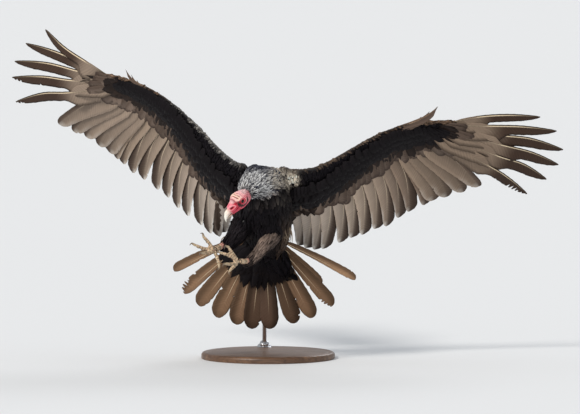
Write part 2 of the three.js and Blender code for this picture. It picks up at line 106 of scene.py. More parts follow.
WING_HALF_CHORDS = place(74, 77, 76, 71, 62, 52, 41, 26, 8)
WING_THICKNESS = place(34, 26, 20, 16, 13, 11, 8, 6, 3.5)
WINGS = {
    "left": {
        "outward": 1.0,
        "dorsal": unit((-0.15, 0.73, 0.67)),
        "chord": np.array((0.12, 0.69, -0.715)),
        "lead": place(
            (0, -176, 539), (58, -183, 538), (135, -190, 549), (210, -191, 588), (285, -191, 630),
            (348, -188, 657), (412, -176, 668), (468, -160, 671), (516, -147, 672)),
        "elbow": 0.36,
        "wrist": 0.64,
        "alula": place((350, -182, 652), (465, -180, 708)),
        "secondaries": place(
            (84, 25, 312), (105, 28, 304), (128, 31, 299), (152, 33, 301), (198, 36, 318), (230, 37, 332),
            (261, 38, 340), (296, 40, 356), (327, 41, 363), (361, 42, 387), (390, 43, 404), (432, 43, 422)),
        "primaries": place(
            (457, 42, 435), (495, 41, 445), (541, 38, 459), (585, 35, 475), (717, 30, 454), (770, 10, 496),
            (802, -15, 538), (814, -40, 581), (795, -65, 634), (749, -90, 674)),
        "fingers": {  # where the vane narrows, and a place half way from there to the tip
            4: place((607, -77, 538), (662, -26, 501)),
            5: place((628, -86, 567), (704, -40, 539)),
            6: place((640, -97, 597), (725, -58, 573)),
            7: place((621, -108, 625), (721, -76, 612)),
            8: place((604, -120, 650), (699, -95, 646)),
            9: place((577, -130, 675), (659, -113, 679)),
        },
        # share along the wing, then how far the black and the brown coverts reach across its underside
        "reach": np.array((
            (0.0, 0.66, 0.68), (0.1, 0.6, 0.64), (0.2, 0.5, 0.58), (0.3, 0.40, 0.55), (0.4, 0.34, 0.48),
            (0.5, 0.30, 0.42), (0.58, 0.28, 0.41), (0.64, 0.30, 0.42), (0.72, 0.30, 0.43),
            (0.8, 0.24, 0.38), (0.88, 0.17, 0.27), (1.0, 0.12, 0.2))),
    },
    "right": {
        "outward": -1.0,
        "dorsal": unit((0.42, 0.72, 0.55)),
        "chord": np.array((-0.12, 0.64, -0.76)),
        "lead": place(
            (-30, -172, 541), (-82, -167, 555), (-140, -143, 602), (-198, -110, 662), (-256, -77, 713),
            (-312, -46, 749), (-366, -24, 773), (-412, -6, 786), (-446, 8, 795)),
        "elbow": 0.36,
        "wrist": 0.66,
        "alula": place((-314, -42, 746), (-393, -15, 801)),
        "secondaries": place(
            (-117, 32, 348), (-135, 35, 335), (-160, 46, 343), (-186, 58, 365), (-223, 81, 389),
            (-251, 100, 410), (-279, 117, 438), (-309, 135, 459), (-347, 155, 486), (-378, 171, 503),
            (-404, 184, 527), (-422, 190, 541)),
        "primaries": place(
            (-442, 198, 558), (-473, 206, 577), (-509, 218, 601), (-546, 233, 616), (-587, 249, 636),
            (-707, 270, 696), (-717, 262, 765), (-709, 245, 811), (-677, 222, 862), (-621, 190, 902)),
        "fingers": {
            5: place((-547, 123, 729), (-628, 194, 722)),
            6: place((-543, 119, 762), (-629, 188, 769)),
            7: place((-527, 112, 788), (-616, 176, 807)),
            8: place((-510, 101, 808), (-593, 159, 840)),
            9: place((-508, 86, 817), (-570, 136, 855)),
        },
        "reach": np.array((
            (0.0, 0.66, 0.68), (0.1, 0.6, 0.62), (0.2, 0.52, 0.58), (0.3, 0.46, 0.54), (0.4, 0.34, 0.46),
            (0.5, 0.27, 0.42), (0.58, 0.25, 0.38), (0.64, 0.24, 0.36), (0.72, 0.22, 0.40),
            (0.8, 0.18, 0.38), (0.88, 0.13, 0.26), (1.0, 0.10, 0.2))),
    },
}
TAIL_ROOT = place(-11, -60, 345)
TAIL_TIPS = place((-261, 50, 238), (-233, 68, 174), (-191, 80, 138), (-141, 88, 105), (-88, 94, 85),
                  (-46, 97, 73), (4, 96, 73), (71, 75, 90), (121, 55, 107), (176, 20, 142), (146, -15, 206),
                  (241, -50, 222))
TAIL_WIDTHS = place(28, 38, 46, 50, 52, 52, 52, 51, 49, 44, 30, 30)

STAND_BASE_RADIUS = 0.185
STAND_BASE_HEIGHT = 0.018
ROD_FOOT = place(-11, 150, 18)
ROD_TOP = place(-9, -72, 440)

CAMERA_TARGET = place(60.5, -110, 427.3)
CAMERA_DISTANCE = 20.0
CAMERA_ELEVATION = math.radians(4)
CAMERA_LENS = 451.4  # with a sensor 36 mm wide, one pixel of 580 is 2.75 mm at the target
SENSOR_WIDTH = 36.0

SEED = 7
RIPPLE_WAVES = 7
BLACK = np.array((0.0060, 0.0050, 0.0065))


# ------------------------------------------------------------------ curves and patterns

def smooth_line(points, t):
    """Places on a smooth line through points, for t from 0 to 1."""
    points = np.asarray(points, float)
    last = len(points) - 1
    t = np.clip(np.atleast_1d(np.asarray(t, float)), 0, 1) * last
    i = np.minimum(t.astype(int), last - 1)
    f = (t - i).reshape((-1,) + (1,) * (points.ndim - 1))
    before, a, b, after = (points[np.clip(i + k, 0, last)] for k in (-1, 0, 1, 2))
    return 0.5 * (2 * a + (b - before) * f + (2 * before - 5 * a + 4 * b - after) * f**2
                  + (3 * (a - b) + after - before) * f**3)


def ramp(low, high, value):
    """A soft step from 0 at low to 1 at high."""
    t = np.clip((np.asarray(value, float) - low) / (high - low), 0, 1)
    return t * t * (3 - 2 * t)


def bump_at(value, centre, width):
    return np.exp(-(((np.asarray(value, float) - centre) / width) ** 2))


def mix(a, b, share):
    share = np.asarray(share, float)[..., None]
    return np.asarray(a, float) * (1 - share) + np.asarray(b, float) * share


def soft_spots(points, *each):
    """Soft spots added up. Each has a strength, a centre and radii over which it fades, in millimetres."""
    return sum(strength * np.exp(-(((points / MM - centre) / radii) ** 2).sum(1))
               for strength, centre, radii in each)


def layered(colour, layers):
    """Lays tones over a colour one after another, each by its share."""
    for tone, share in layers:
        colour = mix(colour, tone, share)
    return colour


def read_off(at, shares, rows):
    """Reads a table of rows, which stand at shares, off at the places at."""
    return np.stack([np.interp(at, shares, column) for column in np.transpose(rows)], -1)


def ripple(points, wavelength, seed):
    """A smooth random pattern from -1 to 1 with about this wavelength."""
    rng = np.random.default_rng(seed)
    ways = unit(rng.normal(size=(RIPPLE_WAVES, 3))) * rng.uniform(0.7, 1.5, (RIPPLE_WAVES, 1))
    phases = rng.uniform(0, 2 * math.pi, RIPPLE_WAVES)
    waves = np.sin(points @ ways.T * (2 * math.pi / wavelength) + phases)
    return waves.sum(1) / math.sqrt(RIPPLE_WAVES * 2)


def nearest_on(line, points, samples=60):
    """For each point, the share along a smooth line and the line's place and direction there."""
    t = np.linspace(0, 1, samples)
    places = smooth_line(line, t)
    ways = unit(np.gradient(places, axis=0))
    gaps = ((points[:, None, :] - places[None]) ** 2).sum(2)
    i = gaps.argmin(1)
    return t[i], places[i], ways[i]


# ------------------------------------------------------------------ meshes

def deselect_all():
    if bpy.context.object and bpy.context.object.mode != "OBJECT":
        bpy.ops.object.mode_set(mode="OBJECT")
    bpy.ops.object.select_all(action="DESELECT")


def make_active(obj):
    deselect_all()
    obj.select_set(True)
    bpy.context.view_layer.objects.active = obj


@contextmanager
def editing(obj):
    """Edit mode on one object, with all of its mesh selected."""
    make_active(obj)
    bpy.ops.object.mode_set(mode="EDIT")
    bpy.ops.mesh.select_all(action="SELECT")
    yield
    bpy.ops.object.mode_set(mode="OBJECT")


def read(items, name, width=3, kind=float):
    """One property of a mesh's vertices, edges, faces or corners, as an array."""
    values = np.empty(len(items) * width, kind)
    items.foreach_get(name, values)
    return values.reshape(-1, width) if width > 1 else values


def coordinates_of(mesh):
    return read(mesh.vertices, "co")


def normals_of(mesh):
    return read(mesh.vertex_normals, "vector")


def set_coordinates(mesh, co):
    mesh.vertices.foreach_set("co", np.ascontiguousarray(co, np.float32).ravel())
    mesh.update()


def set_attribute(mesh, name, kind, key, values):
    layer = mesh.attributes.new(name, kind, "POINT")
    layer.data.foreach_set(key, np.ascontiguousarray(values, np.float32).ravel())


def paint(mesh, colours, alpha=1.0):
    colours = np.column_stack((np.clip(colours, 0, 0.9), np.ones(len(colours)) * alpha))
    set_attribute(mesh, "tint", "FLOAT_COLOR", "color", colours)


def feather_mesh(name, verts, quads, tint, lie, patch, finish, slot, replaced=()):
    """A piece made of many feathers: their colours, the lie of their barbs and their places on the map."""
    mesh = bpy.data.meshes.new(name)
    mesh.vertices.add(len(verts))
    mesh.loops.add(quads.size)
    mesh.loops.foreach_set("vertex_index", np.ascontiguousarray(quads, np.int32).ravel())
    mesh.polygons.add(len(quads))
    mesh.polygons.foreach_set("loop_start", np.arange(0, quads.size, 4, dtype=np.int32))
    set_coordinates(mesh, verts)
    mesh.update(calc_edges=True)
    mesh.validate()
    obj = bpy.data.objects.new(name, mesh)
    bpy.context.scene.collection.objects.link(obj)
    paint(mesh, tint)
    set_attribute(mesh, "lie", "FLOAT_VECTOR", "vector", lie)
    corners = read(mesh.loops, "vertex_index", 1, np.int32)
    layer = mesh.uv_layers.new(name="OFBake")
    layer.uv.foreach_set("vector", np.ascontiguousarray(patch[corners], np.float32).ravel())
    finish_piece(obj, finish, replaced)


def finish_piece(obj, finish, replaced=(), smooth=True):
    obj.data.materials.clear()
    obj.data.materials.append(MATERIALS[finish])
    if smooth:
        obj.data.polygons.foreach_set("use_smooth", np.ones(len(obj.data.polygons), bool))
    obj.data.update()
    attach(obj, "root")
    if replaced:
        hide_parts(*replaced)


def apply_modifier(obj, kind, **settings):
    make_active(obj)
    modifier = obj.modifiers.new(kind.lower(), kind)
    for key, value in settings.items():
        setattr(modifier, key, value)
    bpy.ops.object.modifier_apply(modifier=modifier.name)


# ------------------------------------------------------------------ shader nodes

def set_inputs(tree, node, values):
    """Sets a node's inputs, by name or number, to numbers or to other nodes' outputs."""
    for key, value in values.items():
        if isinstance(value, bpy.types.NodeSocket):
            tree.links.new(value, node.inputs[key])
        else:
            node.inputs[key].default_value = value


def add_node(tree, kind, inputs=None, **settings):
    node = tree.nodes.new("ShaderNode" + kind)
    for key, value in settings.items():
        setattr(node, key, value)
    set_inputs(tree, node, inputs or {})
    return node


def maths(tree, operation, a, b=0.0):
    return add_node(tree, "Math", {0: a, 1: b}, operation=operation).outputs[0]


def times(tree, a, b):
    return maths(tree, "MULTIPLY", a, b)


def plus(tree, a, b):
    return maths(tree, "ADD", a, b)


def noise(tree, where, scale, detail, output="Fac", **inputs):
    node = add_node(tree, "TexNoise", {"Vector": where, "Scale": scale, "Detail": detail, **inputs})
    return node.outputs[output]


def remap(tree, value, low, high, start, end):
    """Draws the span from low to high onto the span from start to end."""
    return add_node(tree, "MapRange", {0: value, 1: low, 2: high, 3: start, 4: end}).outputs[0]


def stretched(tree, where, factors):
    return add_node(tree, "VectorMath", {0: where, 1: factors}, operation="MULTIPLY").outputs[0]


def object_place(tree):
    return add_node(tree, "TexCoord").outputs["Object"]


def mesh_tint(tree):
    return add_node(tree, "Attribute", attribute_name="tint").outputs


def blend_colours(tree, share, a, b, kind="MIX"):
    return add_node(tree, "Mix", {0: share, 6: a, 7: b}, data_type="RGBA", blend_type=kind).outputs[2]


def toned(tree, colour, level):
    """A colour made lighter or darker by a level that changes over the surface."""
    tone = add_node(tree, "CombineColor", {0: level, 1: level, 2: level})
    return blend_colours(tree, 1.0, colour, tone.outputs[0], "MULTIPLY")


def bumped(tree, height, distance, strength):
    node = add_node(tree, "Bump", {"Strength": strength, "Distance": distance, "Height": height})
    return node.outputs["Normal"]


def new_group(name, inputs, outputs):
    """A node group with number sockets: its tree, its inputs as seen inside, and its way out."""
    group = bpy.data.node_groups.new(name, "ShaderNodeTree")
    for label, default in inputs.items():
        socket = group.interface.new_socket(label, in_out="INPUT", socket_type="NodeSocketFloat")
        socket.default_value = default
    for label in outputs:
        group.interface.new_socket(label, in_out="OUTPUT", socket_type="NodeSocketFloat")
    entry = group.nodes.new("NodeGroupInput")
    return group, entry.outputs, group.nodes.new("NodeGroupOutput")


def barb_group():
    """Fine slanting barbs along a feather's vane, and broader bars where they part in waves."""
    inputs = {"Fineness": 900.0, "Contrast": 0.25, "Patches": 30.0, "Bars": 0.0}
    group, entry, leave = new_group("feather_barbs", inputs, ("Tone", "Height"))
    lie = add_node(group, "Attribute", attribute_name="lie").outputs["Vector"]
    split = add_node(group, "SeparateXYZ", {"Vector": lie}).outputs
    along = times(group, split[0], entry["Fineness"])
    across = times(group, split[1], 40.0)
    where = add_node(group, "CombineXYZ", {"X": along, "Y": across, "Z": split[2]}).outputs[0]
    strands = noise(group, where, 1.0, 3.0, Roughness=0.6)
    clumps = noise(group, stretched(group, lie, (1.0, 0.35, 1.0)), entry["Patches"], 2.0, Roughness=0.5)
    both = plus(group, times(group, strands, 0.55), times(group, clumps, 0.45))
    centred = times(group, maths(group, "SUBTRACT", both, 0.5), entry["Contrast"])
    phase = plus(group, times(group, split[0], 640.0), times(group, clumps, 9.0))
    wave = times(group, maths(group, "SINE", phase), entry["Bars"])
    bars = times(group, wave, remap(group, clumps, 0.42, 0.62, 0.0, 1.0))
    tone = plus(group, times(group, centred, 2.0), plus(group, bars, 1.0))
    set_inputs(group, leave, {"Tone": tone, "Height": strands})
    return group


def crease_group():
    """Wrinkled bare skin or scales: small cells with creases between, which the skin darkens as painted
    shade, and a fine grain.
    """
    group, entry, leave = new_group("skin_creases", {"Cells": 400.0, "Grain": 1500.0}, ("Crease", "Height"))
    where = object_place(group)
    bend = noise(group, where, 120.0, 2.0, "Color")
    moved = add_node(group, "VectorMath", {0: bend, 1: (0.003, 0.003, 0.003), 2: where},
                     operation="MULTIPLY_ADD")
    cells = add_node(group, "TexVoronoi", {"Vector": moved.outputs[0], "Scale": entry["Cells"]},
                     feature="DISTANCE_TO_EDGE")
    crease = remap(group, cells.outputs["Distance"], 0.0, 0.18, 0.0, 1.0)
    grain = noise(group, where, entry["Grain"], 2.0)
    height = plus(group, crease, times(group, grain, 0.4))
    set_inputs(group, leave, {"Crease": crease, "Height": height})
    return group


# ------------------------------------------------------------------ finishes

def new_material(name):
    material = bpy.data.materials.new(name)
    material.use_nodes = True
    tree = material.node_tree
    return material, tree, next(n for n in tree.nodes if n.type == "BSDF_PRINCIPLED")


def feather_material(name, barbs, roughness, specular, contrast, patches, bars):
    material, tree, shader = new_material(name)
    tint = mesh_tint(tree)
    settings = {"Fineness": 900.0, "Contrast": contrast, "Patches": patches, "Bars": bars}
    pattern = add_node(tree, "Group", settings, node_tree=barbs).outputs
    set_inputs(tree, shader, {
        "Base Color": toned(tree, tint["Color"], pattern["Tone"]),
        "Roughness": remap(tree, pattern["Tone"], 0.8, 1.2, roughness + 0.12, roughness - 0.08),
        "Specular IOR Level": specular,
        "Normal": bumped(tree, pattern["Height"], 0.0003, 0.4),
    })
    return material


def skin_material(creases):
    """Creased skin of the head and feet, a little darker in its creases as painted shade. The tint's alpha is
    1 on bare skin and 0 under the coat.
    """
    material, tree, shader = new_material("bare_skin")
    tint = mesh_tint(tree)
    pattern = add_node(tree, "Group", {"Cells": 420.0, "Grain": 1800.0}, node_tree=creases).outputs
    crease = times(tree, pattern["Crease"], tint["Alpha"])
    # painted shade: the colour is darkened a little along the creases between the cells
    depth = plus(tree, times(tree, crease, 0.09), 0.92)
    set_inputs(tree, shader, {
        "Base Color": toned(tree, tint["Color"], depth),
        "Roughness": remap(tree, pattern["Crease"], 0.0, 1.0, 0.62, 0.42),
        "Specular IOR Level": 0.3,
        "Subsurface Weight": 0.12,
        "Subsurface Radius": (0.004, 0.0015, 0.001),
        "Subsurface Scale": 0.5,
        "Normal": bumped(tree, times(tree, pattern["Height"], tint["Alpha"]), 0.0003, 0.3),
    })
    return material


def horn_material(name, grain, roughness, coat):
    """Horn of the bill and claws, streaked by its grain and tinted by the mesh."""
    material, tree, shader = new_material(name)
    tint = mesh_tint(tree)
    streaks = noise(tree, object_place(tree), grain, 4.0, Distortion=0.6)
    set_inputs(tree, shader, {
        "Base Color": toned(tree, tint["Color"], remap(tree, streaks, 0.3, 0.7, 0.8, 1.08)),
        "Roughness": remap(tree, streaks, 0.3, 0.7, roughness + 0.1, roughness - 0.05),
        "Coat Weight": coat,
        "Coat Roughness": 0.2,
        "Normal": bumped(tree, streaks, 0.0003, 0.3),
    })
    return material


def eye_material():
    material, tree, shader = new_material("wet_eye")
    tint = mesh_tint(tree)
    fibres = noise(tree, object_place(tree), 2400.0, 3.0)
    set_inputs(tree, shader, {
        "Base Color": toned(tree, tint["Color"], remap(tree, fibres, 0.3, 0.7, 0.7, 1.2)),
        "Roughness": 0.12,
        "Specular IOR Level": 0.12,
        "Coat Weight": 0.35,
        "Coat Roughness": 0.02,
    })
    return material


def wood_material():
    """Oiled walnut with its grain along the base's left to right, and fine dark pores."""
    material, tree, shader = new_material("oiled_walnut")
    where = stretched(tree, object_place(tree), (3.0, 42.0, 30.0))
    grain = noise(tree, where, 1.0, 6.0, Roughness=0.62, Distortion=1.2)
    pores = noise(tree, where, 9.0, 3.0)
    share = remap(tree, grain, 0.32, 0.7, 0.0, 1.0)
    wood = blend_colours(tree, share, (0.075, 0.036, 0.018, 1), (0.19, 0.1, 0.052, 1))
    set_inputs(tree, shader, {
        "Base Color": toned(tree, wood, remap(tree, pores, 0.35, 0.5, 0.55, 1.0)),
        "Roughness": remap(tree, pores, 0.3, 0.7, 0.5, 0.33),
        "Normal": bumped(tree, pores, 0.0004, 0.3),
    })
    return material


def steel_material():
    """Satin steel, with fine lines drawn along the rod."""
    material, tree, shader = new_material("satin_steel")
    lines = noise(tree, stretched(tree, object_place(tree), (900.0, 900.0, 30.0)), 1.0, 2.0)
    set_inputs(tree, shader, {
        "Roughness": remap(tree, lines, 0.3, 0.7, 0.26, 0.42),
        "Base Color": blend_colours(tree, lines, (0.42, 0.42, 0.43, 1), (0.6, 0.6, 0.62, 1)),
        "Metallic": 1.0,
        "Normal": bumped(tree, lines, 0.0001, 0.2),
    })
    return material


MATERIALS = {}


def build_materials():
    barbs, creases = barb_group(), crease_group()
    MATERIALS.update(
        quills=feather_material("quill_vanes", barbs, 0.58, 0.12, 0.26, 30.0, 0.10),
        coat=feather_material("body_plumage", barbs, 0.55, 0.06, 0.35, 60.0, 0.0),
        skin=skin_material(creases),
        bill=horn_material("ivory_bill", 260.0, 0.34, 0.25),
        claws=horn_material("dark_claws", 500.0, 0.36, 0.3),
        eye=eye_material(),
        wood=wood_material(),
        steel=steel_material(),
    )


# ------------------------------------------------------------------ the skin under the coat

BARE_NODES = ("head", "leg_left_shank", "leg_right_shank",
              *(f"toe_{side}_{i}" for side in TOES for i in (1, 2, 3, 4)))
FEATHERED_NODES = (
    "trunk", "neck", "tail_coverts", "leg_left_thigh", "leg_right_thigh",
    *(f"wing_{s}_{p}" for s in WINGS for p in ("upper_arm", "forearm", "hand")),
)
FLESH_NODES = FEATHERED_NODES + BARE_NODES
VOXEL = 0.0038
SKIN = {}


def flesh_tree():
    """All flesh solids as one search tree, with the node that each face belongs to."""
    verts, faces, owners, start = [], [], [], 0
    for number, name in enumerate(FLESH_NODES):
        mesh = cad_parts[name].data
        co = coordinates_of(mesh)
        verts.append(co)
        for polygon in mesh.polygons:
            faces.append([start + v for v in polygon.vertices])
            owners.append(number)
        start += len(co)
    return BVHTree.FromPolygons([Vector(v) for v in np.vstack(verts)], faces), np.array(owners)


def on_flesh(points):
    """For each point, the number of the nearest flesh solid and the place on its surface."""
    if "tree" not in SKIN:
        SKIN["tree"] = flesh_tree()
    tree, owners = SKIN["tree"]
    found = [tree.find_nearest(Vector(p)) for p in points]
    return owners[[f[2] for f in found]], np.array([f[0][:] for f in found])


def joined_flesh():
    """Copies of all flesh solids joined as one mesh, a little swollen so that they overlap."""
    deselect_all()
    copies = [bpy.data.objects.new("skin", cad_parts[name].data.copy()) for name in FLESH_NODES]
    for each in copies:
        bpy.context.scene.collection.objects.link(each)
        each.select_set(True)
    skin = bpy.context.view_layer.objects.active = copies[0]
    bpy.ops.object.join()
    skin.name = "skin"
    with editing(skin):
        bpy.ops.mesh.remove_doubles(threshold=0.00001)
        bpy.ops.transform.shrink_fatten(value=0.0006)
    return skin


def relax(mesh, strength, rounds):
    """Smooths a mesh with a strength for each vertex. Every second step swells back, to keep the size."""
    a, b = read(mesh.edges, "vertices", 2, np.int32).T
    co = coordinates_of(mesh)
    count = np.bincount(a, minlength=len(co)) + np.bincount(b, minlength=len(co))
    for step in range(rounds):
        total = np.zeros_like(co)
        for axis in range(3):
            total[:, axis] = np.bincount(a, co[b, axis], len(co)) + np.bincount(b, co[a, axis], len(co))
        pull = 0.5 if step % 2 == 0 else -0.53
        co += (total / np.maximum(count, 1)[:, None] - co) * strength[:, None] * pull
    set_coordinates(mesh, co)


def on_head(points):
    """Points on the head's own axes, in millimetres: x to the bill tip, y to the bird's left, z up."""
    return (points - HEAD_AT) @ HEAD_AXES.T / MM


def rolls(value, wavelength):
    """Rounded folds with sharp creases between them, from -0.5 to 0.5."""
    return np.abs(np.sin(value * math.pi / wavelength)) ** 0.6 - 0.5


def round_eye(p):
    """Distance from the eye's middle and degrees round it: 0 is towards the bill and 90 the crown."""
    ahead, above = p[:, 0] - EYE["x"], p[:, 2] - EYE["z"]
    return np.hypot(ahead / 1.1, above / 0.95), np.degrees(np.arctan2(above, ahead))


def nostril_distance(p):
    """Distance from the nostril's middle, where 1 is its rim."""
    return np.hypot((p[:, 0] - NOSTRIL["x"]) / (NOSTRIL["length"] / 2),
                    (p[:, 2] - NOSTRIL["z"]) / (NOSTRIL["height"] / 2))


def ear_distance(p):
    return np.hypot(p[:, 0] + 19, p[:, 2] + 3.5)


def dark_arc(p):
    """The dark skin before and under the eye, which thins to a line behind it."""
    apart, angle = round_eye(p)
    turn = np.clip((24 - angle) / 193, 0, 1)
    band = bump_at(apart, 10.5 + 5.5 * turn, 4.2 - 2.4 * turn) * (1 - ramp(20, 48, angle))
    return np.clip(1.5 * band, 0, 1) * ramp(5, 10, np.abs(p[:, 1]))


def mouth_line(p):
    x, _, z = p.T
    return bump_at(z, -9.8 + 0.006 * (x - 38) ** 2, 1.0) * ramp(4, 12, x)


def head_folds(p):
    """How far the bare skin of the head stands out, in millimetres, at points on the head's axes."""
    x, y, z = p.T
    beside = ramp(6, 12, np.abs(y))
    apart, angle = round_eye(p)
    nostril = nostril_distance(p)
    height = np.zeros(len(p))
    height -= 1.2 * bump_at(apart, 0, 5.0) * beside  # socket
    height += 2.2 * bump_at(apart, 6.0, 1.2) * beside  # lids
    height -= 0.9 * bump_at(apart, 8.3, 0.9) * beside
    height += 1.3 * bump_at(apart, 10.6, 1.4) * beside * ramp(-60, 30, np.abs(angle))
    height += 3.0 * bump_at(z, 11.5 - 0.04 * (x + 2) ** 2, 2.6) * bump_at(x, 0, 9) * beside  # brow
    crown = ramp(7, 14, z) * bump_at(x, 1, 11)
    height += 5.2 * crown * rolls(x + 0.25 * y + 1.6 * ripple(p, 26.0, 3), 7.0)
    height -= 2.0 * bump_at(x, 17, 4.5) * ramp(2, 9, z)
    nape = ramp(-9, -22, x)
    height += 1.3 * nape * rolls(x + 2 * ripple(p, 22.0, 5), 5.6)
    cheek = ramp(4, -8, z) * bump_at(x, 0, 16) * (1 - ramp(-15, -20, z))
    height += 1.8 * cheek * rolls(z + 0.35 * x + 1.8 * ripple(p, 20.0, 8), 5.4)
    height -= 1.4 * mouth_line(p)
    height += 1.3 * bump_at(nostril, 1.7, 0.4)
    height += 1.7 * bump_at(x, 29, 6) * ramp(-3, 4, z)  # swollen snout round the nostrils
    height -= 0.9 * bump_at(x, 38.8, 1.5)  # where the skin meets the horn
    ear = ear_distance(p)
    height -= 2.4 * bump_at(ear, 0, 2.6) * beside
    height += 0.9 * bump_at(ear, 4.6, 1.2) * beside
    height -= 0.6 * dark_arc(p)
    height += 0.35 * ripple(p, 6.5, 11) + 0.2 * ripple(p, 3.6, 12)
    return height


def head_colours(p, height, tones):
    x, y, z = p.T
    beside = ramp(5, 11, np.abs(y))
    apart, _ = round_eye(p)
    nostril = nostril_distance(p)
    red, deep, pale = (np.array(tones[k]) for k in ("red", "deep", "pale"))
    # a pink for the painted highlights on the snout and round the nostril
    rosy_highlight = (0.98, 0.42, 0.46)
    crown = ramp(6, 16, z) * (1 - ramp(10, 17, x))
    folds = ramp(8, 14, z) * bump_at(x, 1, 10)
    before_eye = np.hypot(x - EYE["x"] - 9, z - EYE["z"] - 3)
    return layered(red, (
        (deep, 0.45 + 0.4 * ripple(p, 16.0, 21)),
        # the pale crown is partly the skin's own colour and partly a painted highlight from above
        (pale, 0.75 * crown + 0.3 * ramp(-12, -26, x)),
        ((0.90, 0.66, 0.50), 0.9 * folds * ramp(0.0, 1.2, height)),
        (pale, 0.6 * ramp(0.35, 1.2, height) * (1 - ramp(16, 26, x)) * (1 - folds)),
        # painted shade in the hollows of the skin and in the creases between the crown's folds
        (deep * 0.3, 0.9 * ramp(-0.1, -1.0, height) * (1 - ramp(20, 30, x))),
        ((0.30, 0.03, 0.04), 0.75 * (folds * ramp(0.9, 0.2, height))),
        # painted highlight on top of the snout
        (pale, 0.75 * bump_at(x, 20, 5.5) * ramp(9, 14, z)),
        (deep, 0.9 * bump_at(x, 17, 4.0) * bump_at(z, 8.5, 3.0) * beside),
        (deep, 0.95 * bump_at(nostril, 1.3, 1.0)),
        # painted shade in the pit of the nostril
        (deep * 0.42, 0.9 * (1 - ramp(0.75, 1.15, nostril))),
        ((0.010, 0.012, 0.010), 0.96 * dark_arc(p)),
        (deep, 0.85 * bump_at(apart, 6.4, 1.3) * beside),
        (deep, 0.9 * bump_at(before_eye, 0, 2.6) * beside),
        # painted shade in the ear opening
        ((0.10, 0.02, 0.02), 0.85 * bump_at(ear_distance(p), 0, 2.4) * beside),
        ((0.25, 0.006, 0.012), 0.8 * mouth_line(p)),
        # painted highlights on the raised rim round the nostril and on top of the swollen snout
        (rosy_highlight, 0.75 * bump_at(nostril, 1.75, 0.45) * ramp(-0.5, 1.0, height)),
        (rosy_highlight, 0.6 * bump_at(x, 27, 6) * bump_at(z, 9, 4)),
        (pale, 0.6 * bump_at(x, 37.5, 2.5)),
    ))


def foot_surface(points, normals):
    """Scale height in millimetres and colour for the shanks and toes: dirt and painted shade in the joins,
    painted shade beneath.
    """
    height, band, shaded_underside = (np.zeros(len(points)) for _ in range(3))
    best = np.full(len(points), 1e9)
    for side in TOES:
        lines = [(SHANK_LINES[side], 4.2, 70)]
        foot = SHANK_LINES[side][-1]
        lines += [(np.array((foot, toe[0], toe[1])), 3.3, 50) for toe in TOES[side]]
        for line, pitch, length in lines:
            t, centre, way = nearest_on(line, points, 40)
            gap = np.linalg.norm(points - centre, axis=1)
            closer = gap < best
            upper = np.einsum("ij,ij->i", normals, np.cross(np.cross(way, (0.3, -0.5, 0.8)), way))
            scutes = (t * length / pitch) % 1.0
            step = 0.75 * scutes - 0.9 * ramp(0.8, 1.0, scutes)
            pads = 0.8 * np.sin(t * length * 2 * math.pi / 12) * ramp(0.2, -0.5, upper)
            height = np.where(closer, step * ramp(-0.3, 0.3, upper) + pads, height)
            band = np.where(closer, ramp(0.72, 1.0, scutes), band)
            shaded_underside = np.where(closer, ramp(0.1, -0.6, upper), shaded_underside)
            best = np.minimum(best, gap)
    # the joins between scales take dirt and painted shade; the random spots are dirt
    horn, grime_and_shade = np.array((0.80, 0.60, 0.40)), np.array((0.06, 0.033, 0.02))
    colour = mix(horn, grime_and_shade, np.clip(0.8 * band + 0.26 * (1 + ripple(points, 0.012, 31)), 0, 0.95))
    # painted shade on the undersides of the shanks and toes
    colour = mix(colour, grime_and_shade, 0.8 * shaded_underside)
    for side in SHANK_LINES:
        ankle = np.linalg.norm(points - SHANK_LINES[side][1], axis=1)
        colour = mix(colour, (0.74, 0.34, 0.28), 0.85 * (1 - ramp(0.008, 0.022, ankle)))
    return height, colour


def press_nostrils(points):
    """Presses both nostrils in, deep enough to meet almost in the middle, as they do on this bird."""
    p = on_head(points)
    depth = 1 - ramp(0.7, 1.1, nostril_distance(p))
    p[:, 1] *= 1 - 0.86 * depth
    inside = (depth > 0) & (np.linalg.norm(points - HEAD_AT, axis=1) < 0.06)
    return np.where(inside[:, None], p * MM @ HEAD_AXES + HEAD_AT, points)


def divide_bare_faces(skin):
    """Divides the faces of the head, shanks and toes, which have the finest folds."""
    owners, _ = on_flesh(read(skin.data.polygons, "center"))
    with editing(skin):
        bpy.ops.mesh.select_mode(type="FACE")
        bpy.ops.mesh.select_all(action="DESELECT")
    skin.data.polygons.foreach_set("select", owners >= len(FEATHERED_NODES))
    bpy.ops.object.mode_set(mode="EDIT")
    bpy.ops.mesh.subdivide(number_cuts=3)
    bpy.ops.object.mode_set(mode="OBJECT")


def hunch_shoulders(co, normals):
    """Raises the coat in tufts round the neck, and draws it out where it stands off the breast."""
    tufts = soft_spots(
        co, (0.8, (-44, -190, 536), (24, 50, 26)), (0.7, (16, -188, 532), (22, 50, 24)),
        (0.55, (-62, -180, 544), (17, 50, 24)), (1, (36, -182, 530), (17, 50, 24)))
    co[:, 2] += 0.013 * tufts * ramp(-0.3, 0.3, normals[:, 2])
    bulges = soft_spots(co, (1, (38, -196, 508), (15, 40, 30)), (0.8, (-72, -196, 520), (13, 40, 26)))
    co[:, 1] -= 0.016 * bulges * ramp(0.0, -0.5, normals[:, 1])


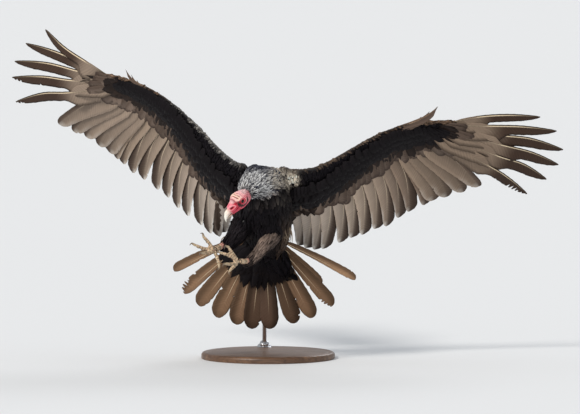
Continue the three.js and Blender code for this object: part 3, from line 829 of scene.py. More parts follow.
def build_skin(coat_depth, tones):
    skin = joined_flesh()
    apply_modifier(skin, "REMESH", mode="VOXEL", voxel_size=VOXEL, use_smooth_shade=True)
    divide_bare_faces(skin)
    mesh = skin.data
    co = coordinates_of(mesh)
    owners, nearest = on_flesh(co)
    bare = (owners >= len(FEATHERED_NODES)).astype(float)
    head = owners == FLESH_NODES.index("head")
    set_coordinates(mesh, mix(co, nearest, bare))
    relax(mesh, np.ones(len(co)), 10)
    relax(mesh, 1 - bare, 20)
    co, normals = coordinates_of(mesh), normals_of(mesh)
    p = on_head(co)
    fold = head_folds(p)
    scales, foot_colour = foot_surface(co, normals)
    near_head = ramp(0.062, 0.045, np.linalg.norm(co - HEAD_AT, axis=1)) * head
    near_foot = bare * ~head
    depth = coat_depth * ramp(0.0, 0.02, distance_to_bare(co)) * (1 - bare)
    move = -depth + (fold * near_head + (scales - 0.6) * near_foot) * MM
    co = co + normals * move[:, None]
    for side, wing in WINGS.items():
        on_wing = np.char.startswith(np.array(FLESH_NODES)[owners], f"wing_{side}")
        t, _ = wing_place(wing, co[on_wing])
        room = 0.4 * smooth_line(WING_THICKNESS, t) / coat_depth
        co[on_wing] += normals[on_wing] * (depth[on_wing] * (1 - np.minimum(room, 1)))[:, None]
        co[on_wing] = thinned_arm(wing, co[on_wing])
    hunch_shoulders(co, normals)
    co = press_nostrils(co)
    set_coordinates(mesh, co)
    relax(mesh, 0.35 * bare, 2)
    relax(mesh, 1 - bare, 4)

    fields, _ = region_fields(np.array(FLESH_NODES)[owners], co, normals_of(mesh))
    # under the coat the skin takes a darker copy of the feathers' colour, as painted shade beneath them
    colour = fields["tip_tint"] * 0.55
    head_tint = head_colours(p, fold, tones)
    colour = mix(colour, head_tint, head.astype(float))
    colour = mix(colour, foot_colour, near_foot)
    paint(mesh, colour, alpha=bare)
    with editing(skin):
        bpy.ops.uv.smart_project(angle_limit=math.radians(66), island_margin=0.001)
    mesh.uv_layers[0].name = "OFBake"
    finish_piece(skin, "skin", FLESH_NODES)
    SKIN["object"] = skin


def thinned_arm(wing, points):
    """Draws the arm thin where the quills start, so that they come out of it as they do on a bird."""
    t, _ = wing_place(wing, points)
    lead, half = smooth_line(wing["lead"], t), smooth_line(WING_HALF_CHORDS, t)
    middle = lead + wing["chord"] * half[:, None]
    rise = (points - middle) @ wing["dorsal"]
    keep = wing_thinning(wing, t, chord_reach(wing, t, points))
    return points - wing["dorsal"] * (rise * (1 - keep))[:, None]


def distance_to_bare(points):
    """Distance from each point to the bare head or feet, where the coat thins out to nothing."""
    gaps = np.linalg.norm(points - HEAD_AT, axis=1) - 0.036
    for side in SHANK_LINES:
        for centre in smooth_line(SHANK_LINES[side], np.linspace(0, 1, 5)):
            gaps = np.minimum(gaps, np.linalg.norm(points - centre, axis=1) - 0.010)
    return np.maximum(gaps, 0)


# ------------------------------------------------------------------ long feathers

def sheet_faces(rows, columns):
    """Quads of two stacked grids, joined round their edge into one thin solid."""
    i, j = np.meshgrid(np.arange(rows - 1), np.arange(columns - 1), indexing="ij")
    a = i * columns + j
    top = np.stack((a, a + 1, a + columns + 1, a + columns), -1).reshape(-1, 4)
    under = rows * columns
    ring = np.concatenate((
        np.arange(columns - 1), np.arange(rows - 1) * columns + columns - 1,
        under - 1 - np.arange(columns - 1), (rows - 1 - np.arange(rows - 1)) * columns,
    ))
    after = np.roll(ring, -1)
    return np.vstack((top, (top + under)[:, ::-1], np.stack((ring, under + ring, under + after, after), -1)))


def tube_faces(rows, sides):
    i, j = np.meshgrid(np.arange(rows - 1), np.arange(sides), indexing="ij")
    start, k = i * sides, (j + 1) % sides
    return np.stack((start + j, start + sides + j, start + sides + k, start + k), -1).reshape(-1, 4)


def round_tip(s, start):
    return np.sqrt(np.clip(1 - (np.clip(s - start, 0, None) / (1 - start)) ** 2, 0.0004, 1))


def even_line(points, s):
    """Places at shares s of the length of a smooth line through points, and the shares of the points."""
    fine = np.linspace(0, 1, 25 * (len(points) - 1) + 1)
    line = smooth_line(points, fine)
    run = np.concatenate(([0], np.cumsum(np.linalg.norm(np.diff(line, axis=0), axis=1))))
    run /= run[-1]
    return read_off(s, run, line), run[::25]


PLAIN_FEATHER = dict(rows=80, columns=4, lap=0.05, sweep=0.0, neighbours=(), splits=(), camber=2.4,
                     thick=0.0005, shaft_rows=30, shaft_fade=(0.45, 0.95, 0.45), notched=False)
SMALL_FEATHER = dict(rows=18, columns=2, shaft_rows=10, thick=0.0004)
SHAFT_SIDES = 6


def feather_lines(spec, s, length):
    """A feather's middle line at shares s, the ways along, aside and up from it, and its notch's share."""
    root, tip = spec["line"][0], spec["line"][-1]
    along = (tip - root) / length
    front = unit(spec["fan"] - along * np.dot(spec["fan"], along))
    up = np.cross(along, front)
    if up @ spec["dorsal"] < 0:
        up = -up
    front, up = unit(front + up * spec["lap"]), unit(up - front * spec["lap"])
    line = spec["line"]
    if len(line) == 2:
        middle = (root + tip) / 2 - up * spec["bend"] * length / 2 + front * spec["sweep"] * length / 2
        line = np.array((root, middle, tip))
    centre, shares = even_line(line, s)
    way = unit(np.gradient(centre, axis=0))
    flat = unit(front - way * (way @ front)[:, None])
    raised = np.cross(way, flat)
    raised *= np.sign(raised @ up)[:, None]
    return centre, way, flat, raised, shares[1]


def side_ways(spec, s, way, flat, raised, notch):
    """The ways in which the two sides of the vane spread, each towards the neighbouring feather."""
    sides = [flat, flat]
    free = ramp(notch - 0.3, notch + 0.05, s)[:, None] if len(spec["line"]) > 2 else 0.0
    for k, step in enumerate(spec["neighbours"]):
        toward = read_off(s, (0, notch, 1), step)
        toward = unit(toward - way * (way * toward).sum(1, keepdims=True)) + raised * spec["lap"]
        sides[k] = unit(toward * (1 - free) + flat * free)
    return sides


def vane_widths(spec, s, notch, rng):
    """Widths of the inner and the outer side of the vane, a little worn, and split where spec says."""
    inner, outer = spec["profile"](s, notch)
    wear = 1 + 0.012 * np.sin(s * rng.uniform(60, 90) + rng.uniform(0, 6)) + rng.normal(0, 0.005, len(s))
    widths = {-1: inner * wear, 1: outer * wear}
    for edge, where, depth, half in spec["splits"]:
        widths[edge] = widths[edge] * (1 - depth * np.clip(1 - np.abs(s - where) / half, 0, 1))
    return widths[-1], widths[1]


def vane(spec, cell, s, lines, length, rng):
    """The thin cambered vane of a feather, and the number that sets its pattern apart."""
    centre, way, flat, raised, notch = lines
    inner_way, outer_way = side_ways(spec, s, *lines[1:])
    inner, outer = vane_widths(spec, s, notch, rng)
    steps = np.linspace(-1, 1, 2 * spec["columns"] + 1)
    across = np.where(steps < 0, steps[None] * inner[:, None], steps[None] * outer[:, None])
    barb = s[:, None] * length - np.abs(across) * 0.9
    wavy = 0.0004 * np.sin(barb * 2 * math.pi / 0.021 + rng.uniform(0, 6)) * np.abs(steps)[None] ** 2
    rise = wavy - spec["camber"] * across**2
    reach = np.where((steps < 0)[None, :, None], inner_way[:, None], outer_way[:, None])
    surface = centre[:, None] + reach * across[..., None] + raised[:, None] * rise[..., None]
    half = raised[:, None] * (spec["thick"] * (0.35 + 0.65 * (1 - np.abs(steps))[None, :, None]))
    verts = np.vstack(((surface + half).reshape(-1, 3), (surface - half).reshape(-1, 3)))
    quads = sheet_faces(len(s), len(steps))
    if np.dot(np.cross(flat[0], way[0]), raised[0]) < 0:
        quads = quads[:, ::-1]

    share = np.broadcast_to(steps[None], across.shape)
    along = np.broadcast_to(s[:, None], across.shape)
    above, below = spec["colours"](along, share, notch, rng)
    tint = np.vstack((above.reshape(-1, 3), below.reshape(-1, 3)))
    number = float(rng.uniform(0, 50))
    lie = np.stack((barb, across, np.full_like(across, number)), -1).reshape(-1, 3)
    u0, v0, du, dv = cell
    u = u0 + du * (0.02 + 0.96 * along)
    v = v0 + dv * 0.04 + dv * 0.42 * (share + 1) / 2
    patch = np.vstack((np.stack((u, v), -1).reshape(-1, 2), np.stack((u, v + dv * 0.46), -1).reshape(-1, 2)))
    return (verts, quads, tint, np.vstack((lie, lie)), patch), number


def shaft(spec, cell, s, lines, length, number):
    """The shaft of a feather, pale below, which fades towards the tip."""
    centre, way, flat, raised, notch = lines
    t = np.linspace(0, 0.985, spec["shaft_rows"])
    line, lift, aside = (read_off(t, s, rows) for rows in (centre, raised, flat))
    radius = spec["shaft"] * ((1 - t) ** 0.75 * 0.9 + 0.1)
    turn = np.arange(SHAFT_SIDES) * 2 * math.pi / SHAFT_SIDES + math.pi / 6
    ring = aside[:, None] * np.cos(turn)[None, :, None] + lift[:, None] * np.sin(turn)[None, :, None] * 0.85
    line = line - lift * (radius * 0.25)[:, None]
    verts = (line[:, None] + ring * radius[:, None, None]).reshape(-1, 3)
    caps = np.array([(0, 1, 2, 3), (0, 3, 4, 5)])
    quads = np.vstack((tube_faces(len(t), SHAFT_SIDES), caps, (len(t) - 1) * SHAFT_SIDES + caps[:, ::-1]))
    if np.dot(np.cross(aside[0], lift[0]), way[0]) > 0:
        quads = quads[:, ::-1]

    under = np.clip(-np.sin(turn), 0, 1)[None, :, None]
    pale, dusk = (np.array(tone) for tone in spec["shaft_tones"])
    tint = dusk + (pale - dusk) * np.broadcast_to(ramp(-0.2, 0.4, under), (len(t), SHAFT_SIDES, 1))
    low, high, floor = spec["shaft_fade"]
    fade = (1 - (1 - floor) * ramp(low, high, t))[:, None, None]
    if spec["notched"]:  # a notched feather's shaft is as dull as its vane up to the notch
        fade = fade * (0.42 + 0.58 * ramp(notch - 0.08, notch + 0.04, t))[:, None, None]
    tint = (tint * fade).reshape(-1, 3)
    lie = np.stack((np.repeat(t * length, SHAFT_SIDES), np.tile(turn * 0.001, len(t)),
                    np.full(len(verts), number + 7)), -1)
    u0, v0, du, dv = cell
    u = np.repeat(u0 + du * (0.02 + 0.96 * t), SHAFT_SIDES)
    v = v0 + dv * (0.955 + 0.004 * np.tile(np.arange(SHAFT_SIDES), len(t)))
    return verts, quads, tint, lie, np.stack((u, v), -1)


def feather_piece(name, feathers, rng, slot, replaced=(), columns=2):
    """A piece made of the feathers that specs tell of. Their cells on its map stand in columns."""
    parts, rows = [], math.ceil(len(feathers) / columns)
    for i, spec in enumerate(feathers):
        spec = {**PLAIN_FEATHER, **spec}
        cell = (i % columns) / columns, (i // columns) / rows, 1 / columns, 1 / rows
        length = np.linalg.norm(spec["line"][-1] - spec["line"][0])
        s = 1 - (1 - np.linspace(0, 1, spec["rows"])) ** 1.3
        lines = feather_lines(spec, s, length)
        part, number = vane(spec, cell, s, lines, length, rng)
        parts += [part, shaft(spec, cell, s, lines, length, number)]
    verts, quads, tint, lie, patch = zip(*parts)
    starts = np.cumsum([0, *(len(part) for part in verts[:-1])])
    quads = [part + start for part, start in zip(quads, starts)]
    feather_mesh(name, *map(np.vstack, (verts, quads, tint, lie, patch)), "quills", slot, replaced)


def quill_line(wing):
    return wing["lead"] + wing["chord"] * (WING_HALF_CHORDS * 0.95)[:, None]


def plain_profile(inner, outer, length, swell=0.0, drawn=0.0, blunt=0.85):
    """Widths of a round-tipped vane. swell widens it and drawn narrows its inner side towards the tip."""
    def profile(s, notch):
        base = (0.3 + 0.7 * ramp(0.0, 0.3, s)) * (1 - swell + swell * ramp(0.1, 0.85, s))
        end = round_tip(s, 1 - blunt * inner / length)
        return inner * base * end * (1 - drawn * ramp(0.35, 1.05, s)), outer * base * end
    return profile


FINGER_SHARES = np.array((0.0, 0.25, 0.5, 0.7, 0.85, 0.95, 1.0))
FINGER_TAPER = np.array((0.92, 1.0, 0.96, 0.82, 0.56, 0.3, 0.06))


def finger_profile(inner, outer, finger_inner, finger_outer, lag):
    """Widths of a primary whose vane narrows at the notch. The inner vane narrows later, by the share lag."""
    def profile(s, notch):
        base = 0.4 + 0.6 * ramp(0.0, 0.2, s)
        finger = np.clip((s - notch) / (1 - notch), 0, 1)
        taper = np.interp(finger, FINGER_SHARES, FINGER_TAPER)
        late = notch + lag * (1 - notch)
        past = ramp(late - 0.05, late + 0.07, s)
        full_inner = inner * base * (1 - past) + finger_inner * taper * past
        past = ramp(notch - 0.07, notch + 0.01, s)
        return full_inner, outer * base * (1 - past) + finger_outer * taper**0.6 * past
    return profile


def row_fans(feathers):
    """Sets which way the vanes spread: on the whole, and on each side towards the neighbouring feather."""
    lines = [feather["line"] for feather in feathers]
    lines = np.array([(line[0], line.mean(0) if len(line) == 2 else line[1], line[-1]) for line in lines])
    middles = (lines[:, 0] + lines[:, 2]) / 2
    steps = np.diff(lines, axis=0)
    for i, feather in enumerate(feathers):
        feather["fan"] = middles[min(i + 1, len(middles) - 1)] - middles[max(i - 1, 0)]
        feather["neighbours"] = (steps[max(i - 1, 0)], steps[min(i, len(steps) - 1)])


UPPER_TONE = np.array((0.022, 0.016, 0.013))
DARK_TIP = (0.05, 0.034, 0.026)


def rimmed(tone, rim, k):
    """The upper side of a vane, lighter along both edges."""
    return mix(tone, rim, 0.5 * ramp(0.8, 1.0, np.abs(k)))


def vane_colours(base, outer_tone, tip_tone=DARK_TIP, tip_backlight=0.0):
    """Colours of a plain vane above and below, at shares s of its length, with painted light and shade below.

    k is negative on the wide inner side of the vane and positive on the outer.
    """
    base, outer_tone = np.array(base, float), np.array(outer_tone, float)

    def colours(s, k, notch, rng):
        level = rng.uniform(0.88, 1.12)
        # painted light shining through the inner edge near the tip and through the tip itself
        backlit_edges = np.maximum(ramp(-0.6, -0.9, k) * ramp(0.7, 0.86, s),
                            ramp(0.3, -0.3, k) * ramp(0.91, 0.97, s))
        below = layered(base * level * 1.12, (
            # painted shade on the inner side towards the shaft
            (base * level * 0.8, 0.9 * ramp(-0.7, -0.15, k)),
            # painted light at the free inner edge, where the vane lies single
            (base * level * 1.8, 0.85 * ramp(-0.88, -1.0, k)),
            (outer_tone * level, 0.96 * ramp(0.0, 0.35, k)),
            # painted shade towards the outer edge, where the next feather lies over it
            (outer_tone * 0.5, 0.6 * ramp(0.35, 0.8, k)),
            (tip_tone, 0.5 * ramp(0.88, 1.0, s) * ramp(-0.7, 0.1, k)),
            # the pale glow of light painted shining through the tip
            ((0.88, 0.84, 0.78), tip_backlight * backlit_edges),
        ))
        return rimmed(UPPER_TONE * level, UPPER_TONE * 2.2, k), below
    return colours


def finger_colours(base, dark, cream):
    """Colours of a notched primary: pale up to the notch, then dark with painted sheen, and a cream painted
    highlight along the front edge that fades.
    """
    base = np.array(base, float)

    def colours(s, k, notch, rng):
        level = rng.uniform(0.92, 1.08)
        finger = np.clip((s - notch) / (1 - notch), 0, 1)
        past = ramp(-0.02, 0.02, s - notch)
        # painted highlight along the front edge past the notch
        highlight_stripe = ramp(0.0, 0.06, k) * (1 - ramp(0.3, 0.45, k)) * past
        below = layered(base * level, (
            (dark * level, 0.92 * ramp(-0.12, 0.3, (s - notch) / (1 - notch))),
            # painted sheen along the middle of the inner vane past the notch
            (dark * 1.7, 0.5 * bump_at(k, -0.5, 0.3) * ramp(0.0, 0.3, finger) * (1 - finger)),
            (dark * 0.55, 0.6 * ramp(-0.75, -1.0, k) + 0.5 * ramp(0.8, 1.0, finger)),
            (cream, highlight_stripe * (1 - 0.85 * ramp(0.35, 0.95, finger))),
            (dark * 0.6, ramp(0.4, 0.55, k) * past * 0.9),
        ))
        return rimmed(UPPER_TONE * level, UPPER_TONE * 2.2, k), below
    return colours


WING_TONES = {
    # underside of the secondaries from the body outwards, then of the primaries
    # the paler inner tones are partly the feathers' own and partly painted light shining through them
    "left": {"inner": (0.50, 0.43, 0.37), "middle": (0.37, 0.29, 0.225), "outer": (0.19, 0.132, 0.095),
             "primary": (0.225, 0.165, 0.12)},
    "right": {"inner": (0.46, 0.40, 0.35), "middle": (0.29, 0.225, 0.175), "outer": (0.24, 0.178, 0.13),
              "primary": (0.25, 0.19, 0.145)},
}
OUTER_VANE = (0.060, 0.038, 0.027)
FINGER_TONE = np.array((0.033, 0.017, 0.011))
# cream of the painted highlight along the fingers' front edges
FINGER_HIGHLIGHT = (0.90, 0.74, 0.50)
SHAFT_TONES = ((0.62, 0.5, 0.36), (0.12, 0.075, 0.045))
# for each primary that parts like a finger: the width of its inner vane past the notch, the width of its
# outer vane before the notch, and how much later the inner vane narrows
FINGERS = {4: (0.025, 0.02, 0.02), 5: (0.027, 0.02, 0.16), 6: (0.028, 0.02, 0.3), 7: (0.0265, 0.016, 0.22),
           8: (0.024, 0.009, 0.22), 9: (0.0185, 0.005, 0.1)}
RAGGED_TIPS = {("left", 4): 6, ("right", 6): 3, ("right", 5): 2}  # how many times a primary's tip is split
RAGGED_TAIL = (1, 9)
RIGHT_NARROWER = 0.88  # the right wing's fingers are turned a little away
INSIDE_ELBOW, INSIDE_WRIST, LAST_QUILL = 0.2, 0.02, 0.93  # where the rows of quills start and end


def random_splits(rng, count, first, half, both_edges=False):
    """Splits in a vane: which edge, at what share of the length, how deep, and half of their width."""
    splits = []
    for _ in range(count):
        edge = rng.choice((-1, 1)) if both_edges else -1
        splits.append((edge, rng.uniform(first, 0.97), rng.uniform(0.1, 0.35), half))
    return splits


def quill_shares(wing):
    """Shares along the wing at which its quills start: those of the secondaries, then of the primaries."""
    run = wing["wrist"] - INSIDE_WRIST - wing["elbow"] + INSIDE_ELBOW
    last = len(wing["secondaries"]) - 1
    inner = [wing["elbow"] - INSIDE_ELBOW + run * k / last for k in range(last + 1)]
    last = len(wing["primaries"]) - 1
    return inner, [wing["wrist"] + (LAST_QUILL - wing["wrist"]) * k / last for k in range(last + 1)]


def secondary_feathers(name, wing, roots, rng):
    """The feathers of the forearm, paler towards the body."""
    tones = WING_TONES[name]
    specs = []
    for i, (root, tip) in enumerate(zip(roots, wing["secondaries"])):
        share = i / (len(roots) - 1)
        length = np.linalg.norm(tip - root)
        if share < 0.5:
            base = mix(tones["inner"], tones["middle"], share * 2)
        else:
            base = mix(tones["middle"], tones["outer"], share * 2 - 1)
        splits = random_splits(rng, rng.integers(0, 2), 0.55, 0.012)
        specs.append(dict(
            line=np.array((root, tip)), dorsal=wing["dorsal"], bend=0.05, sweep=0.07 + 0.05 * share,
            profile=plain_profile(0.031, 0.026, length, 0.0, 0.72), splits=splits, camber=1.0, lap=0.085,
            colours=vane_colours(base, OUTER_VANE, tip_backlight=1.0 - 0.8 * share),
            shaft=0.0012, shaft_tones=SHAFT_TONES, shaft_fade=(0.7, 1.0, 0.5),
        ))
    return specs


def primary_feathers(name, wing, roots, rng):
    """The feathers of the hand. The outer ones narrow at a notch and part like fingers."""
    tones = WING_TONES[name]
    specs = []
    for i, (root, tip) in enumerate(zip(roots, wing["primaries"])):
        length = np.linalg.norm(tip - root)
        splits = random_splits(rng, rng.integers(0, 2), 0.6, 0.01)
        ragged = RAGGED_TIPS.get((name, i), 0)
        splits += [(-1, 0.985 - 0.03 * k, rng.uniform(0.5, 0.95), 0.007) for k in range(ragged)]
        notched = i in wing["fingers"]
        if notched:
            line = np.vstack((root, wing["fingers"][i], tip))
            inner, base, lag = FINGERS[i]
            if name == "right":
                inner, lag = inner * RIGHT_NARROWER, 0.02
            profile = finger_profile(0.043, base, inner, 0.0055, lag)
            colours = finger_colours(tones["primary"], FINGER_TONE, FINGER_HIGHLIGHT)
        else:
            line = np.array((root, tip))
            profile = plain_profile(0.044, 0.028 - 0.0035 * i, length, 0.0, 0.5)
            colours = vane_colours(tones["primary"], (0.11, 0.075, 0.055), tip_backlight=0.2)
        specs.append(dict(
            line=line, dorsal=wing["dorsal"], bend=0.05, sweep=0.1, profile=profile, splits=splits,
            camber=1.4, lap=0.06, colours=colours, notched=notched, shaft=0.0013 if notched else 0.0011,
            shaft_tones=SHAFT_TONES, shaft_fade=(0.7, 1.0, 0.3) if notched else (0.5, 0.98, 0.35),
        ))
    return specs


def build_flight_feathers(side):
    wing = WINGS[side]
    rng = np.random.default_rng(SEED + (1 if side == "left" else 2))
    roots = [smooth_line(quill_line(wing), shares) for shares in quill_shares(wing)]
    secondaries = secondary_feathers(side, wing, roots[0], rng)
    primaries = primary_feathers(side, wing, roots[1], rng)
    row_fans(secondaries + primaries)
    for feathers, node in ((secondaries, "secondaries"), (primaries, "primaries")):
        feather_piece(f"{side}_{node}", feathers, rng, "flight_feathers", (f"wing_{side}_{node}",))


def build_tail_feathers():
    rng = np.random.default_rng(SEED + 3)
    feathers = []
    last = len(TAIL_TIPS) - 1
    for i, tip in enumerate(TAIL_TIPS):
        aside = 2 * i / last - 1
        root = TAIL_ROOT + BODY_SIDE * aside * 0.024
        length = np.linalg.norm(tip - root)
        outer = 0.5 + 0.22 * aside  # the outer side's share of the width
        widths = TAIL_WIDTHS[i] * (1 - outer), TAIL_WIDTHS[i] * outer
        splits = random_splits(rng, 2, 0.6, 0.014, both_edges=True)
        if i in RAGGED_TAIL:
            splits += [(-1, 0.985 - 0.035 * k, rng.uniform(0.4, 0.9), 0.01) for k in range(4)]
        # the outer feathers' paler brown is partly their own tone and partly painted light shining through
        # them
        base = mix((0.36, 0.215, 0.125), (0.125, 0.078, 0.055), bump_at(aside, 0.05, 0.35))
        feathers.append(dict(
            line=np.array((root, tip)), dorsal=TAIL_DORSAL, bend=0.03, sweep=0.05 * aside,
            profile=plain_profile(*widths, length, 0.45, 0, 1.9 * 0.5 / (1 - outer)),
            splits=splits, lap=0.035, colours=tail_colours(base, aside), camber=1.5,
            shaft=0.0014, shaft_tones=((0.70, 0.54, 0.36), (0.1, 0.065, 0.04)), shaft_fade=(0.6, 1.0, 0.4),
        ))
    row_fans(feathers)
    feather_piece("tail_fan", feathers, rng, "flight_feathers", ("tail_feathers",))


def tail_colours(base, aside):
    """Warm brown vanes, with painted shade along the edge that lies over the next feather and painted light
    shining through the middle, darker round the tip and edges and towards the root.
    """
    dark = base * 0.3

    def colours(s, k, notch, rng):
        level = rng.uniform(0.7, 1.2)
        below = layered(base * level, (
            # painted shade along the side where the feathers overlap
            (dark, 0.85 * ramp(0.0, 0.7, k * (1 if aside > 0 else -1))),
            # painted light shining through the middle of the vane
            (base * 1.35, 0.5 * bump_at(k, 0.0, 0.3) * (1 - s)),
            (dark, 0.5 * ramp(0.88, 1.0, s) + 0.45 * ramp(0.85, 1.0, np.abs(k))),
            (dark, 0.8 * (1 - ramp(0.3, 0.75, s + 0.1 * np.sin(9 * k + 20 * level)))),
        ))
        return rimmed(UPPER_TONE * level, (0.05, 0.036, 0.028), k), below
    return colours


# how far the coverts reach along each tail feather
TAIL_COVER_REACH = (0.5, 0.5, 0.5, 0.53, 0.52, 0.54, 0.52, 0.53, 0.5, 0.42, 0.38, 0.22)
TAIL_COVERTS = 38  # in each row


def build_tail_coverts():
    """Rows of covering feathers over the roots of the tail fan: black beneath, dark brown above."""
    rng = np.random.default_rng(SEED + 4)
    reaches = TAIL_TIPS - TAIL_ROOT
    span = np.linalg.norm(reaches, axis=1)
    ways = reaches / span[:, None]
    rows = [  # share of the full reach, length, width, distance from the fan, side, tones
        (1.0, 0.085, 0.022, 0.0095, -1, BLACK_COVERT), (0.93, 0.080, 0.020, 0.012, -1, BLACK_COVERT),
        (0.82, 0.080, 0.020, 0.015, -1, BLACK_COVERT), (0.68, 0.075, 0.020, 0.018, -1, BLACK_COVERT),
        (0.85, 0.075, 0.034, 0.005, 1, UPPER_COVERT), (0.6, 0.065, 0.030, 0.010, 1, UPPER_COVERT),
    ]
    numbers = range(len(TAIL_TIPS))
    specs = []
    for part, length, width, away, out, tones in rows:
        for k in range(TAIL_COVERTS):
            at = np.clip(k / (TAIL_COVERTS - 1) * numbers[-1] + rng.normal(0, 0.12), 0, numbers[-1])
            way = unit(read_off(at, numbers, ways))
            reach = np.interp(at, numbers, span * TAIL_COVER_REACH) * part * rng.uniform(0.84, 1.1)
            far = TAIL_ROOT + way * reach + TAIL_DORSAL * out * away
            near = TAIL_ROOT + way * max(reach - length, 0.012) + TAIL_DORSAL * out * (away + 0.006)
            level = rng.uniform(0.75, 1.25)
            base = np.array(tones[0]) * level
            specs.append(dict(
                line=np.array((near, (near + far) / 2 + TAIL_DORSAL * out * 0.003, far)), dorsal=TAIL_DORSAL,
                fan=BODY_SIDE, lap=0.04, camber=2.0 * out, **SMALL_FEATHER,
                profile=plume_profile(width / 2 * rng.uniform(0.85, 1.15), width / 2),
                colours=covert_colours(base, tones[1], tones[2]),
                shaft=0.0005, shaft_tones=(base * 1.5 + 0.003, base * 0.8),
            ))
    feather_piece("tail_coverts_rows", specs, rng, "plumage", columns=6)


def build_plumes():
    """Loose pale plumes that hang from the flanks, each with its start, its end and how many there are."""
    rng = np.random.default_rng(SEED + 8)
    groups = [
        (place(48, -160, 396), place(61, -140, 330), 9, 0.005),
        (place(36, -176, 376), place(50, -156, 336), 6, 0.005),
        (place(-108, -160, 356), place(-130, -148, 326), 5, 0.003),
    ]
    specs = []
    for start, end, count, scatter_by in groups:
        for _ in range(count):
            a = start + rng.normal(0, scatter_by, 3)
            b = end + rng.normal(0, scatter_by, 3)
            tone = np.array((0.40, 0.30, 0.215)) * rng.uniform(0.15, 0.9)
            specs.append(dict(
                line=np.array((a, (a + b) / 2 + rng.normal(0, 0.004, 3), b)), dorsal=unit((0.0, 0.9, 0.3)),
                fan=np.array((1.0, 0.0, 0.3)), rows=16, columns=2, shaft_rows=8, thick=0.0002,
                profile=plume_profile(0.0016, 0.0012), colours=covert_colours(tone, tone * 0.7, tone * 0.8),
                shaft=0.0003, shaft_tones=(tone * 1.4, tone * 0.6),
            ))
    feather_piece("loose_plumes", specs, rng, "plumage")


def build_alula(side):
    """The thumb's small stiff feathers, raised above the leading edge."""
    wing = WINGS[side]
    rng = np.random.default_rng(SEED + (5 if side == "left" else 6))
    root, tip = wing["alula"]
    width = 0.014 if side == "left" else 0.007
    out = unit(tip - root)
    up = unit(np.array((0, 0, 1.0)) - out * out[2])
    feathers = []
    for k in range(3):
        reach = 1 - 0.2 * k
        start = root + wing["chord"] * (0.005 + 0.004 * k) - wing["dorsal"] * 0.002 * (k - 1)
        end = root + (tip - root) * reach + wing["chord"] * 0.004 * k
        middle = start + (end - start) * 0.72 - up * 0.011 * reach
        early = start + (end - start) * 0.35 - up * 0.008 * reach
        feathers.append(dict(
            line=np.array((start, early, middle, end)), fan=up, dorsal=wing["dorsal"], camber=1.0,
            profile=plume_profile(width - 0.001 * k, width * 0.35), rows=40, columns=3,
            colours=vane_colours((0.085, 0.058, 0.044), (0.16, 0.10, 0.065), (0.03, 0.02, 0.016)),
            shaft=0.0008, shaft_tones=((0.5, 0.36, 0.24), (0.1, 0.07, 0.05)),
        ))
    feather_piece(f"{side}_alula", feathers, rng, "flight_feathers", (f"wing_{side}_alula",), columns=1)


def plume_profile(inner, outer, length=0.0):
    """Widths of a small stiff feather that ends in a drawn-out point, whatever its length."""
    def profile(s, notch):
        shape = np.interp(s, (0, 0.2, 0.55, 0.8, 0.9, 1.0), (0.5, 0.8, 1.0, 0.72, 0.3, 0.05))
        return inner * shape, outer * shape
    return profile


# ------------------------------------------------------------------ the coat of small feathers

BLADE_ROWS = np.array((0.0, 0.22, 0.5, 0.76, 0.93, 1.0))
BLADE_WIDTHS = np.array((0.35, 0.85, 1.0, 0.78, 0.4, 0.07))
BLADE_PATCH = 0.003  # how much of the map each small feather takes


def blade_faces():
    last = (len(BLADE_ROWS) - 1) * 4
    return np.vstack((tube_faces(len(BLADE_ROWS), 4), [(0, 1, 2, 3), (last + 3, last + 2, last + 1, last)]))


def coat_mesh(name, c):
    """One mesh of many small feathers. c holds an array for each of their properties."""
    count = len(c["root"])
    s = BLADE_ROWS[None, :, None]
    root, middle, tip = (c[key][:, None] for key in ("root", "middle", "tip"))
    centre = (1 - s) ** 2 * root + 2 * s * (1 - s) * middle + s**2 * tip
    way = unit(np.gradient(centre, axis=1))
    side = unit(np.cross(way, c["normal"][:, None]))
    up = np.cross(side, way)
    half = (c["width"][:, None] * BLADE_WIDTHS[None] / 2)[..., None]
    thick = (c["length"][:, None] * 0.012 * (1.15 - BLADE_ROWS)[None])[..., None]
    camber = half * 0.10
    ring = np.stack((
        centre + side * half - up * camber,
        centre + up * (thick + camber * 0.3),
        centre - side * half - up * camber,
        centre - up * thick,
    ), 2)
    verts = ring.reshape(-1, 3)
    per_blade = len(BLADE_ROWS) * 4
    quads = (blade_faces()[None] + np.arange(count)[:, None, None] * per_blade).reshape(-1, 4)
    share = np.repeat(BLADE_ROWS, 4)[None, :, None]
    rim = np.tile((1.0, 0.0, 1.0, 0.0), len(BLADE_ROWS))[None, :, None] * ramp(0.3, 0.9, share)
    rim = np.maximum(rim, ramp(0.9, 1.0, share))
    tint = c["tint"][:, None] * (1 - share) + c["tip_tint"][:, None] * share
    tint = tint * (1 - rim) + c["rim_tint"][:, None] * rim
    lie = np.empty((count, per_blade, 3))
    lie[..., 0] = share[..., 0] * c["length"][:, None]
    lie[..., 1] = np.tile((1.0, 0.0, -1.0, 0.0), len(BLADE_ROWS))[None] * c["width"][:, None] / 2
    lie[..., 0] -= np.abs(lie[..., 1]) * 0.9
    lie[..., 2] = (np.arange(count) * 0.37 % 50)[:, None]
    patch = np.empty((count, per_blade, 2))
    patch[..., 0] = c["uv"][:, None, 0] + BLADE_PATCH * (np.repeat(BLADE_ROWS, 4)[None] - 0.5)
    patch[..., 1] = c["uv"][:, None, 1] + BLADE_PATCH * np.tile((0.5, 0.0, -0.5, 0.0), len(BLADE_ROWS))[None]
    tint, lie, patch = tint.reshape(-1, 3), lie.reshape(-1, 3), np.clip(patch, 0, 1).reshape(-1, 2)
    feather_mesh(name, verts, quads, tint, lie, patch, "coat", "plumage")


def squared_gap(a, b):
    d = b - a
    return d[0] * d[0] + d[1] * d[1] + d[2] * d[2]


